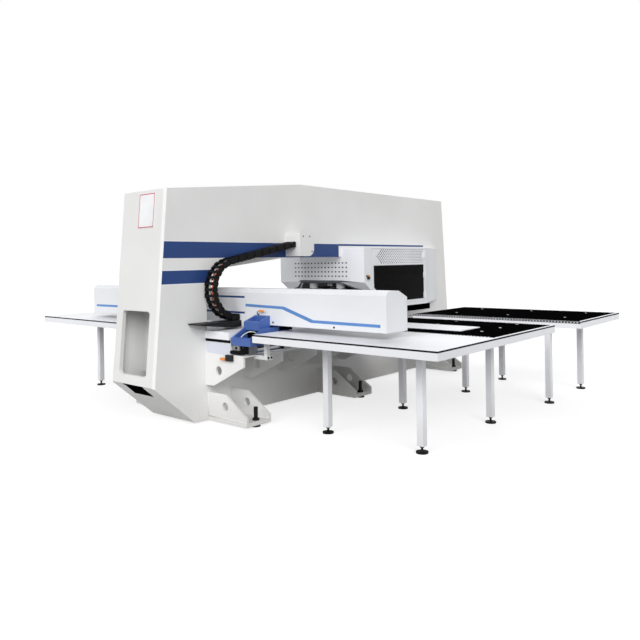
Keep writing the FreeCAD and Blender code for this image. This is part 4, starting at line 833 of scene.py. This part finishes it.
class PRESS_OT_tables(Operator):
    """Tables, brush fields, edge strips, combs, balls and screw feet"""
    bl_idname = "press.tables"
    bl_label = "Tables"

    def execute(self, context):
        tones, sizes = context.scene.press_colours, context.scene.press_sizes
        coat(paint("table_paint", tones.table, 0.30, 0.25, sizes.soft_edge), *both("table"),
             *both("front_table"), "centre_table")
        coat(oxide("foot_black", tones.black), "table_feet")
        seed = context.scene.press_stage.seed
        finish = bristles("bristles", tones.bristle)
        strip = plastic("edge_strip", tone(24, 25, 27), 0.6, 0.15)
        ball = metal("ball_steel", tone(176, 178, 182), 0.30)
        rim = paint("rim_paint", tones.table, 0.30, 0.0, 0.001)
        combs = [plastic("comb_grey", tone(196, 198, 202), 0.5),
                 plastic("comb_dark", tone(72, 74, 75), 0.6, 0.1)]
        plain_inset = (1.040, run(1.755), 2.495, run(2.215))
        for word, side in SIDES:
            self.tufts(f"{word}_brushes", side, plain_inset, sizes, seed, finish)
            self.tufts(f"{word}_front_brushes", side, None, sizes, seed + 1, finish)
            self.edges(word, side, strip)
            self.rims(word, side, rim)
            self.combs(word, side, combs)
            self.balls(word, side, sizes, ball)
        return {"FINISHED"}

    def tufts(self, node, side, gap, sizes, seed, finish):
        """Rows of bristle tufts on their base, standing level with the table; none stands in the gap."""
        draw = random.Random(seed)
        low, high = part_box(node)
        x0, x1 = sorted((abs(low.x), abs(high.x)))
        pitch, jitter, margin = sizes.tuft_pitch, 0.0012, 0.010
        across, ahead = round((x1 - x0) / pitch), round((high.y - low.y) / pitch)
        step_x, step_y = (x1 - x0) / across, (high.y - low.y) / ahead
        root, base_top, base_inset = low.z + 0.003, low.z + 0.004, 0.006

        def in_gap(x, y):
            return gap and gap[0] - margin < x < gap[2] + margin and gap[1] - margin < y < gap[3] + margin

        def build(work):
            parts = [(x0, low.y, x1, high.y)]
            if gap:
                parts = [(x0, low.y, x1, gap[1]), (x0, gap[3], x1, high.y), (gap[2], gap[1], x1, gap[3])]
            for part in parts:
                slab(work, sided(inset(box_outline(*part), base_inset), side), "Z", low.z, base_top)
            for i in range(across):
                for j in range(ahead):
                    x, y = x0 + (i + 0.5) * step_x, low.y + (j + 0.5) * step_y
                    if in_gap(x, y):
                        continue
                    spot = (side * x + draw.uniform(-1, 1) * jitter, y + draw.uniform(-1, 1) * jitter, root)
                    tall = high.z - low.z - 0.003 - draw.uniform(0, 1) * jitter
                    wide = sizes.tuft_radius * draw.uniform(0.92, 1.12)
                    tuft = [(wide * 0.62, 0), (wide, tall * 0.86), (wide * 0.80, tall)]
                    turn(work, spot, Z, tuft, 7, draw.uniform(0, 1))
        piece = make(f"{node}_tufts", "frame", finish, build)
        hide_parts(node)

    def edges(self, word, side, finish):
        """Black strips along the upper edge of the tables' sides."""
        tall, proud, sunk = 0.014, 0.0003, 0.001
        back = box_outline(TABLE_INNER, TOP - tall, TABLE_OUTER, TOP)
        flanks = ((TABLE_OUTER, TABLE_BACK, TABLE_FRONT),
                  (FRONT_TABLE_OUTER - proud, FRONT_TABLE_BACK, FRONT_TABLE_FRONT))

        parts = [(sided(back, side), "Y", run(TABLE_BACK) - proud, run(TABLE_BACK) + sunk)]
        for x, start, end in flanks:
            outline = box_outline(run(start), TOP - tall, run(end), TOP)
            parts.append((outline, "X", *sorted((side * (x - sunk), side * (x + proud)))))
        plates(f"{word}_edge_strips", "frame", finish, parts)

    def rims(self, word, side, finish):
        """Pale keep strips over the outer rims of the brush fields."""
        wide, set_in, sunk, proud = 0.018, 0.006, 0.004, 0.0035
        strips = ((TABLE_OUTER, 1.440, TABLE_FRONT), (FRONT_TABLE_OUTER, 3.250, FRONT_TABLE_FRONT))

        outlines = [box_outline(outer - set_in - wide, run(start), outer - set_in, run(end - set_in))
                    for outer, start, end in strips]
        plates(f"{word}_rim_strips", "frame", finish,
               [(sided(outline, side), "Z", TOP - sunk, TOP + proud) for outline in outlines])

    def combs(self, word, side, finishes):
        """Combs along the first bristles: teeth on one table, holes in a strip on the front one."""
        first_tooth, tooth_pitch, tooth_half, teeth = 1.098, 0.033, 0.0080, 57
        first_hole, hole_pitch, hole_half, holes = 1.080, 0.034, 0.0070, 60
        strip = box_outline(1.052, TOP - 0.0240, 3.118, TOP - 0.0005)
        face = FRONT_TABLE_BACK - 0.0010

        parts = []
        for x in (side * (first_tooth + tooth_pitch * i) for i in range(teeth)):
            outline = box_outline(x - tooth_half, run(1.4395), x + tooth_half, run(1.4425))
            parts.append((outline, "Z", TOP - 0.003, TOP + 0.0042))
        parts.append((sided(strip, side), "Y", run(face), run(face + 0.0015), 1))
        for x in (side * (first_hole + hole_pitch * i) for i in range(holes)):
            outline = box_outline(x - hole_half, TOP - 0.0190, x + hole_half, TOP - 0.0060)
            parts.append((outline, "Y", run(face - 0.0006), run(face)))
        plates(f"{word}_combs", "frame", finishes, parts)

    def balls(self, word, side, sizes, finish):
        """Balls that let the sheet run over the brush fields."""
        spots = [(x, y) for x in (1.310, 2.000, 2.691) for y in (2.210, 2.598)] + [(2.691, 1.827)]
        spots += [(x, y) for x in (1.443, 2.128, 2.807) for y in (3.620, 4.315)]

        def build(work):
            for x, y in spots:
                dome(work, (side * x, run(y), TOP + 0.0008), sizes.ball_radius)
        make(f"{word}_balls", "frame", finish, build, True)


class PRESS_OT_guides(Operator):
    """Guides on their gussets, rails, runner blocks, bumpers, end covers and the limit switch"""
    bl_idname = "press.guides"
    bl_label = "Guides"

    def execute(self, context):
        tones, sizes = context.scene.press_colours, context.scene.press_sizes
        body = paint("guide_paint", scaled(tones.frame, 1.02), edge=sizes.soft_edge)
        coat(body, *both("guide_beam"), *both("front_gussets"))
        coat(metal("guide_steel", tones.steel, 0.26, (60, 1, 60)), *both("guide_rail"))
        coat(metal("block_steel", tone(120, 122, 126), 0.34, (60, 1, 60)), *both("bearing_blocks"))
        coat(plastic("switch_black", tones.black), "limit_switch")
        rubber = plastic("rubber", tones.black, 0.8, 0.1)
        caps = oxide("rail_caps", tone(60, 61, 64), 0.4)
        stop = metal("stop_steel", tone(150, 152, 150), 0.4, (40, 40, 1), metallic=0.6)
        cover = paint("end_cover_paint", tone(214, 217, 228), 0.34, 0.0, sizes.soft_edge)
        for word, side in SIDES:
            self.rail_caps(word, caps)
            self.seals(word, [rubber, caps])
            self.stop_block(word, side, stop, rubber)
            self.bumpers(word, side, rubber)
            self.beads(word, side, sizes, body)
            self.arm_bolts(word, side, tones)
            self.end_cover(word, side, cover, rubber)
        self.flag(tones)
        return {"FINISHED"}

    def rail_caps(self, word, finish):
        """Caps over the screws of the rail."""
        low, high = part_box(f"{word}_guide_rail")
        middle = (low.x + high.x) / 2
        pitch, end = 0.12, 0.04
        cap = [(0.009, 0), (0.009, 0.0024), (0.007, 0.0028)]

        def build(work):
            count = int((high.y - low.y - 0.06) / pitch)
            for i in range(count + 1):
                turn(work, (middle, low.y + end + pitch * i, high.z - 0.002), Z, cap, 16)
        make(f"{word}_rail_caps", "frame", finish, build, True)

    def seals(self, word, finishes):
        """End seals of the runner blocks, with their screws and grease nipples."""
        low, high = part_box(f"{word}_bearing_blocks")
        middle, long, thick = (low.x + high.x) / 2, 0.110, 0.006
        wide, gap, foot, roof, head, corner = 0.066, 0.036, 0.006, 0.046, 0.078, 0.008
        half = [(gap, roof), (gap, foot), (wide, foot), (wide, head - corner), (wide - corner, head)]
        outline = [(-a, b) for a, b in reversed(half[:3])] + half + [(-a, b) for a, b in reversed(half[3:])]
        outline = [(middle + a, low.z + b) for a, b in outline]
        screw = [(0.006, 0), (0.006, 0.004), (0.0045, 0.005)]
        nipple = [(0.010, 0), (0.010, 0.006), (0.006, 0.009), (0.004, 0.016)]

        def build(work):
            for face, outward in ((low.y, -1), (low.y + long, 1), (high.y - long, -1), (high.y, 1)):
                outer = face + outward * thick
                slab(work, outline, "Y", *sorted((face, outer)))
                for a in (-0.050, 0.050):
                    turn(work, (middle + a, outer, low.z + 0.058), Y * outward, screw, 12, index=1)
                turn(work, (middle, outer, low.z + 0.062), Y * outward, nipple, 12, index=1)
        make(f"{word}_block_seals", "beam", finishes, build)

    def stop_block(self, word, side, steel, rubber):
        """Steel stop with one screw on the back runner block, and a black rubber sheet over the block's back,
        painted shade of the dark space under the saddle.
        """
        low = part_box(f"{word}_bearing_blocks")[0]
        back, head = low.y - 0.028, low.z + 0.080
        screw = [(0.013, 0), (0.013, 0.006), (0.009, 0.008)]

        def stop(work):
            slab(work, sided(box_outline(0.765, low.z + 0.034, 0.850, head), side), "Y", back, low.y)
            turn(work, (side * 0.808, back, low.z + 0.056), -Y, screw, 14, index=1)
        make(f"{word}_stop_block", "beam", [steel, rubber], stop)
        # Black sheet over the block's back: painted shade under the saddle
        flat(f"{word}_block_back_shade", "beam", "black_plastic", rubber,
             sided(box_outline(0.851, low.z + 0.006, 0.956, head), side), "Y", low.y - 0.012, low.y - 0.006)

    def bumpers(self, word, side, finish):
        """Rubber stop at the back end of the rail."""
        low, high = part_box(f"{word}_guide_rail")
        middle = (low.x + high.x) / 2
        foot, back, radius = low.z + 0.012, low.y - 0.030, 0.015
        inner, outer = side * 0.742, side * 0.916

        def build(work):
            for spot in (inner, outer):
                turn(work, (spot, back, foot + 0.016), Y, [(radius, 0), (radius, 0.026)], 18)
            slab(work, box_outline(min(inner, outer), foot + 0.001, max(inner, outer), foot + 0.031), "Y",
                 back - 0.0002, low.y - 0.0042)
            slab(work, box_outline(middle - 0.020, foot + 0.002, middle + 0.020, foot + 0.028), "Y",
                 low.y - 0.004, low.y - 0.001)
        make(f"{word}_bumper", "frame", finish, build)

    def beads(self, word, side, sizes, finish):
        """Weld beads between the gussets, the ledge and the frame."""
        first, pitch, sheet = 0.460, 0.520, 0.025
        foot, head, ledge, reach = 0.378, 0.688, 0.6895, 0.905

        def build(work):
            for i in range(5):
                start = first + pitch * i
                faces = (start - 0.001, start + sheet + 0.001)
                for y in (run(along) for along in faces[i == 0:]):
                    tube(work, [(side * SIDE, y, foot), (side * SIDE, y, head)], sizes.weld_bead)
                    tube(work, [(side * SIDE, y, ledge), (side * reach, y, ledge)], sizes.weld_bead)
        make(f"{word}_guide_beads", "frame", finish, build, True)

    def arm_bolts(self, word, side, tones):
        """Hexagon bolts on the ends of the two arms."""
        def build(work):
            for along in (arm + spot for arm in (0.600, 2.200) for spot in (0.020, 0.060)):
                hex_bolt(work, (side * 1.090, run(along), 0.685), X * side, 0.008)
        make(f"{word}_arm_bolts", "frame", oxide(f"{word}_arm_bolt", tones.black), build)

    def end_cover(self, word, side, cover, rubber):
        """Sheet cover over the guide's end, and a black rubber sheet between it and the table, painted shade
        where the gap between them lies in shade.
        """
        face, inner, outer, head = run(0.460), 0.362, 0.728, 0.812
        outline = sided([(inner, 0.742), (inner + 0.010, 0.716), (inner + 0.036, 0.702), (outer, 0.694),
                         (outer, head), (inner, head)], side)
        flat(f"{word}_guide_end_cover", "frame", "white_paint", cover, outline, "Y", face - 0.002, face)
        # Black sheet between the cover and the table: painted shade of the gap
        outline = sided(box_outline(inner - 0.002, head + 0.004, outer + 0.003, TOP - 0.0754), side)
        flat(f"{word}_guide_gap_shade", "frame", "black_plastic", rubber, outline, "Y", face - 0.003, face)

    def flag(self, tones):
        """Orange flag on the switch's lever."""
        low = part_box("limit_switch")[0]
        outline = box_outline(low.x - 0.004, low.z + 0.004, low.x + 0.073, low.z + 0.024)
        flat("switch_flag", "frame", "cable_orange", plastic("flag_orange", tones.signal), outline, "Y",
             low.y - 0.003, low.y + 0.004)


class PRESS_OT_saddles(Operator):
    """The two saddles with their screws, oil pipes, and black bristle sheets of painted shade under the cover
    and in the saddle's hollow
    """
    bl_idname = "press.saddles"
    bl_label = "Saddles"

    def execute(self, context):
        tones, sizes = context.scene.press_colours, context.scene.press_sizes
        coat(paint("saddle_paint", tones.saddle, 0.30, 0.0, sizes.soft_edge), *both("saddle"))
        screws = screw_finishes(tones, "saddle_bolt", "saddle_recess")
        pipe = plastic("oil_pipe", tone(214, 212, 200), 0.3)
        brass = metal("brass", tone(190, 160, 96), 0.28)
        # Black bristles for sheets of painted shade under the cover and in the saddle's hollow
        shade_sheets = bristles("shade_bristles", tones.bristle)
        for word, side in SIDES:
            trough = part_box(f"{word}_saddle")[0].z + 0.035
            spots = [(side * x, run(y), trough) for x in (0.835, 0.935) for y in (0.510, 0.590)]
            cap_screws(f"{word}_saddle_screws", "beam", screws, spots, Z, 0.009)
            self.pipes(word, side, trough, pipe, brass)
            self.shade_sheets(word, side, shade_sheets)
        return {"FINISHED"}

    def shade_sheets(self, word, side, finish):
        """Black bristle sheet under the cover, standing on the table, and a black sheet in the saddle's
        hollow: painted shade of the dark gap under the cover and of the shaded hollow.
        """
        brush = box_outline(0.860, TOP + 0.003, 1.066, TOP + 0.030)
        flap = box_outline(0.763, 0.836, 0.987, 0.912)

        plates(f"{word}_sweep", "beam", finish, [
            (sided(brush, side), "Y", run(0.970), run(0.978)),
            (sided(flap, side), "Y", run(0.655), run(0.657))])

    def pipes(self, word, side, trough, finish, brass):
        """Oil pipe that arcs from the lower trough to the hollow under the shelf."""
        start, end, steps = Vector((0.815, 0.508)), Vector((0.915, 0.700)), 16
        lift, rise = 0.018, 0.070
        nut = [(0.013, 0), (0.013, 0.010), (0.009, 0.013)]
        collar = [(0.009, 0), (0.009, 0.010), (0.006, 0.012)]

        def arc(share):
            spot = start.lerp(end, share)
            return side * spot.x, run(spot.y), trough + lift + rise * math.sin(math.pi * share) ** 0.7

        def build(work):
            tube(work, [arc(k / steps) for k in range(steps + 1)], 0.005, 10)
        make(f"{word}_oil_pipe", "beam", finish, build, True)

        def ends(work):
            for spot in (start, end):
                turn(work, (side * spot.x, run(spot.y), trough), Z, nut, 6)
                turn(work, (side * spot.x, run(spot.y), trough + 0.012), Z, collar, 14)
        make(f"{word}_pipe_ends", "beam", brass, ends)


class PRESS_OT_carriage(Operator):
    """Carriage plate, clamps and jaws with their screws"""
    bl_idname = "press.carriage"
    bl_label = "Carriage and clamps"

    def execute(self, context):
        tones = context.scene.press_colours
        coat(paint("carriage_grey", tone(82, 86, 92), 0.40, 0.0, 0.002), "x_carriage")
        coat(metal("clamp_steel", tone(150, 152, 156), 0.32, (60, 60, 1)), "near_clamp", "middle_clamp",
             "far_clamp")
        coat(metal("jaw_steel", tone(120, 122, 128), 0.30, (60, 1, 60)), "near_clamp_jaw", "middle_clamp_jaw",
             "far_clamp_jaw")
        screws = screw_finishes(tones, "clamp_screw", "clamp_recess")
        self.plate_screws(screws)
        for word in ("near", "middle", "far"):
            self.clamp_screws(word, screws)
        return {"FINISHED"}

    def plate_screws(self, finishes):
        low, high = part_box("x_carriage")
        count, end = 9, 0.050
        step = (high.x - low.x - 2 * end) / (count - 1)
        spots = [(low.x + end + step * i, high.y, z) for i in range(count) for z in (1.067, 1.217)]
        cap_screws("carriage_screws", "carriage", finishes, spots, Y, 0.008)

    def clamp_screws(self, word, finishes):
        low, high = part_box(f"{word}_clamp")
        middle, ear = (low.x + high.x) / 2, 0.028

        def build(work):
            for x in (middle - 0.035, middle + 0.035):
                cap_screw(work, (x, low.y + 0.022, high.z), Z, 0.008)
                cap_screw(work, (x, low.y + 0.060, high.z - ear), Y, 0.007)
        make(f"{word}_clamp_screws", "carriage", finishes, build)


class PRESS_OT_turrets(Operator):
    """Turrets, tools, hubs, ram and sheet holders"""
    bl_idname = "press.turrets"
    bl_label = "Turrets"

    def execute(self, context):
        tones = context.scene.press_colours
        low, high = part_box("upper_turret")
        coat(turned("turret_face", tones.iron, (low.y + high.y) / 2), "upper_turret", "lower_turret")
        coat(metal("tool_ground", tone(104, 106, 110), 0.34, (40, 40, 1)), "punch_holders", "die_holders")
        coat(paint("hub_grey", tone(64, 66, 70), 0.42, 0.0, 0.002), "upper_turret_hub", "lower_turret_hub",
             "ram_cylinder")
        coat(metal("ram_chrome", tone(150, 152, 156), 0.26, (60, 60, 1)), "ram", "near_holder_rod",
             "far_holder_rod")
        coat(paint("holder_white", tones.cover, 0.32, 0.0, 0.002), "holder_bracket")
        self.screws(tones)
        return {"FINISHED"}

    def screws(self, tones):
        """Four screws under the flange of each sheet holder."""
        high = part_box("holder_bracket")[1]
        axis_in, bolt_circle, flange = 0.070, 0.062, high.z - 0.040
        finishes = screw_finishes(tones, "holder_screw", "holder_recess")
        angles = [math.radians(45 + 90 * k) for k in range(4)]
        x, y = high.x - axis_in, high.y - axis_in
        spots = [(side * x + bolt_circle * math.cos(angle), y + bolt_circle * math.sin(angle), flange)
                 for side in (1, -1) for angle in angles]
        cap_screws("holder_screws", "frame", finishes, spots, -Z, 0.006)


class PRESS_OT_guard(Operator):
    """Turret guard, its doors, panes, perforated bands and safety locks"""
    bl_idname = "press.guard"
    bl_label = "Turret guard"

    def execute(self, context):
        tones, sizes = context.scene.press_colours, context.scene.press_sizes
        # The cover paint made 12% lighter for the guard and its doors: painted light, making up for the arm's
        # shade on the guard's back
        white = scaled(tones.cover, 1.12)
        # The guard's inner faces are painted black as shade
        coat(paint_with_shaded_inside("guard_paint", white, tones.black, sizes.soft_edge * 2), "turret_guard")
        coat(paint("door_paint", white, dust=0.0, edge=sizes.soft_edge), *both("guard_door"))
        coat(pane("smoked_pane"), *both("guard_pane"))
        coat(plastic("lock_black", tones.black), "door_locks")
        rubber = plastic("pane_seal", tones.black, 0.6)
        # Dark grey discs for the band's holes: painted shade of their insides
        holes = plastic("band_hole_shade", tone(34, 35, 38), 0.8, 0.0)
        flags = plastic("lock_orange", tones.signal)
        # Black plugs in the guard's back vent holes: painted shade of their insides
        self.vent_shade(plastic("vent_shade_black", tone(16, 16, 18), 0.8, 0.1))
        # Dark grey band round the mouth and strip over the guard's lower edge: painted shade
        self.mouth_shade(plastic("mouth_shade_grey", tone(84, 86, 90), 0.7, 0.1))
        for word, side in SIDES:
            self.seal(word, side, rubber)
            self.holes(word, side, holes)
            self.flag(word, side, flags)
        return {"FINISHED"}

    def vent_shade(self, finish):
        """Black plugs with a rim in the vent holes of the guard's back: painted shade of the holes' dark
        insides.
        """
        face, columns, rows, pitch, row_pitch, foot = GUARD_LOW.y, 16, 4, 0.058, 0.056, 1.400
        half, low, high = 0.0115, -0.0020, 0.0140
        plug_half, plug_low, plug_high = 0.0079, 0.0001, 0.0119

        parts = []
        for x in (pitch * (i - (columns - 1) / 2) for i in range(columns)):
            for z in (foot + row_pitch * j for j in range(rows)):
                rim = box_outline(x - half, z + low, x + half, z + high)
                plug = box_outline(x - plug_half, z + plug_low, x + plug_half, z + plug_high)
                parts += [(rim, "Y", face - 0.0006, face), (plug, "Y", face, face + 0.008)]
        plates("vent_shade_plugs", "frame", finish, parts)

    def mouth_shade(self, finish):
        """Dark grey band round the mouth for the sheet, and a dark grey strip over the guard's lower edge:
        painted shade of the arch's shaded underside.
        """
        half = [(0.610, 0.998), (0.610, 1.205), (0.480, 1.235), (0.335, 1.317)]
        rim = [(0.634, 0.998), (0.634, 1.224), (0.490, 1.258), (0.342, 1.329)]
        inner = half + [(-x, z) for x, z in reversed(half)]
        outer = rim + [(-x, z) for x, z in reversed(rim)]
        thick, out, down = 0.004, 0.59, 0.81                  # the way that the underside faces
        lip_low, lip_high = GUARD_BEND + 0.0002, 1.3520

        def row(work, corners, lift):
            spots = [(x, GUARD_LOW.y + (GUARD_BEND - z) / GUARD_FALL, z) for x, z in corners]
            return [work.verts.new((x, y - lift * out, z - lift * down)) for x, y, z in spots]

        def build(work):
            for i in range(len(inner) - 1):
                corners = [outer[i], outer[i + 1], inner[i + 1], inner[i]]
                loft(work, [row(work, corners, lift) for lift in (0.0, thick)])
            lip = [(-0.385, lip_low), (0.660, lip_low), (0.345, lip_high), (-0.345, lip_high)]
            slab(work, lip, "Y", GUARD_LOW.y - 0.0015, GUARD_LOW.y)
        make("mouth_shade_band", "frame", finish, build)

    def seal(self, word, side, finish):
        """Rubber seal round the pane."""
        low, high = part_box(f"{word}_guard_pane")
        line = GUARD_BEND + 0.0186 + 0.055            # height of the pane's slanted edge at the guard's back
        outline = [(GUARD_LOW.y + (line - low.z) / GUARD_FALL, low.z), (high.y, low.z), (high.y, high.z),
                   (low.y, high.z), (low.y, line - (low.y - GUARD_LOW.y) * GUARD_FALL)]
        inner = inset(outline, 0.010)
        near, far = sorted((side * (GUARD_HIGH.x - 0.0032), side * (GUARD_HIGH.x + 0.0015)))
        make(f"{word}_pane_seal", f"{word}_door", finish,
             lambda work: band(work, outline, inner, "X", near, far))

    def holes(self, word, side, finish):
        """Chevron rows of small holes over the pane, drawn as dark discs and lines that paint the shade
        inside them; towards the front they get finer and close to lines.
        """
        face, rows, columns, total = GUARD_HIGH.x, 9, 15, 22
        pitch, row_pitch, start, foot = 0.048, 0.0210, run(2.925), 1.566
        largest, shrink, line_half = 0.0092, 0.0040, 0.0016

        def build(work):
            for j in range(rows):
                lag = pitch / 2 * abs(j - (rows - 1) / 2)
                z = foot + row_pitch * j
                for i in range(columns):
                    size = largest - shrink * i / (columns - 1)
                    spot = (side * face, start + lag + pitch * i, z)
                    turn(work, spot, X * side, [(size, 0), (size, 0.0006)], 8)
                line = box_outline(start + lag + pitch * (columns - 0.5), z - line_half,
                                   start + pitch * total + lag / 3, z + line_half)
                slab(work, line, "X", *sorted((side * face, side * (face + 0.0004))))
        make(f"{word}_band_hole_shade", f"{word}_door", finish, build)

    def flag(self, word, side, finish):
        """Orange face of the lock's strap."""
        low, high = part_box("door_locks")
        x = side * (GUARD_HIGH.x + 0.008)
        back, front = sorted((x, x + side * 0.0012))
        outline = box_outline(low.y + 0.016, high.z - 0.0175, high.y - 0.002, high.z - 0.0015)
        flat(f"{word}_lock_flag", "frame", "cable_orange", finish, outline, "X", back, front)


class PRESS_OT_chain(Operator):
    """Cable chain, its cables and its tray"""
    bl_idname = "press.chain"
    bl_label = "Cable chain"

    def execute(self, context):
        tones = context.scene.press_colours
        coat(plastic("tray_black", tones.black), "chain_tray")
        links = plastic("link_black", scaled(tones.black, 0.7), 0.5, 0.15)
        self.rolling("cable_chain", "chain_links", "black_plastic", [links])
        orange = plastic("cable_orange", tones.cable, 0.4)
        grey = plastic("cable_grey", tone(186, 188, 190), 0.4)
        cables = self.rolling("chain_cables", "moving_cables", "cable_orange", [orange, grey])
        low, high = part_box("chain_cables")
        between = (low.x + high.x) / 2 - 0.010
        for face in cables.data.polygons:
            face.material_index = 1 if face.center.x < between else 0
        return {"FINISHED"}

    def rolling(self, node, name, slot, finishes):
        """A copy of the node's mesh with the given finishes, in the node's place; the node itself is hidden.
        """
        piece = bpy.data.objects.new(name, frame["nodes"][node].data.copy())
        bpy.context.scene.collection.objects.link(piece)
        piece.data.materials.clear()
        for finish in finishes:
            piece.data.materials.append(finish)
        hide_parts(node)
        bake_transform(piece)
        return piece


OPERATORS = (PRESS_OT_stage, PRESS_OT_frame, PRESS_OT_beam, PRESS_OT_tables, PRESS_OT_guides,
             PRESS_OT_saddles, PRESS_OT_carriage, PRESS_OT_turrets, PRESS_OT_guard, PRESS_OT_chain)
GROUPS = (("press_colours", PressColours), ("press_sizes", PressSizes), ("press_stage", PressStage))


class PRESS_PT_pieces(Panel):
    """Pieces of the press, in the order in which they are made"""
    bl_idname = "PRESS_PT_pieces"
    bl_label = "Turret punch press"
    bl_space_type = "VIEW_3D"
    bl_region_type = "UI"
    bl_category = "Press"

    def draw(self, context):
        for item in OPERATORS:
            self.layout.operator(item.bl_idname, text=item.bl_label)
        for settings in (getattr(context.scene, name) for name, _ in GROUPS):
            box = self.layout.box()
            for name in settings.__annotations__:
                box.prop(settings, name)


def register():
    for name, group in GROUPS:
        bpy.utils.register_class(group)
        setattr(bpy.types.Scene, name, PointerProperty(type=group))
    for item in (*OPERATORS, PRESS_PT_pieces):
        bpy.utils.register_class(item)


def unregister():
    for item in reversed((*OPERATORS, PRESS_PT_pieces)):
        bpy.utils.unregister_class(item)
    for name, group in reversed(GROUPS):
        delattr(bpy.types.Scene, name)
        bpy.utils.unregister_class(group)


def main():
    register()
    for item in OPERATORS:
        group, name = item.bl_idname.split(".")
        getattr(getattr(bpy.ops, group), name)()


if __name__ == "__main__":
    main()
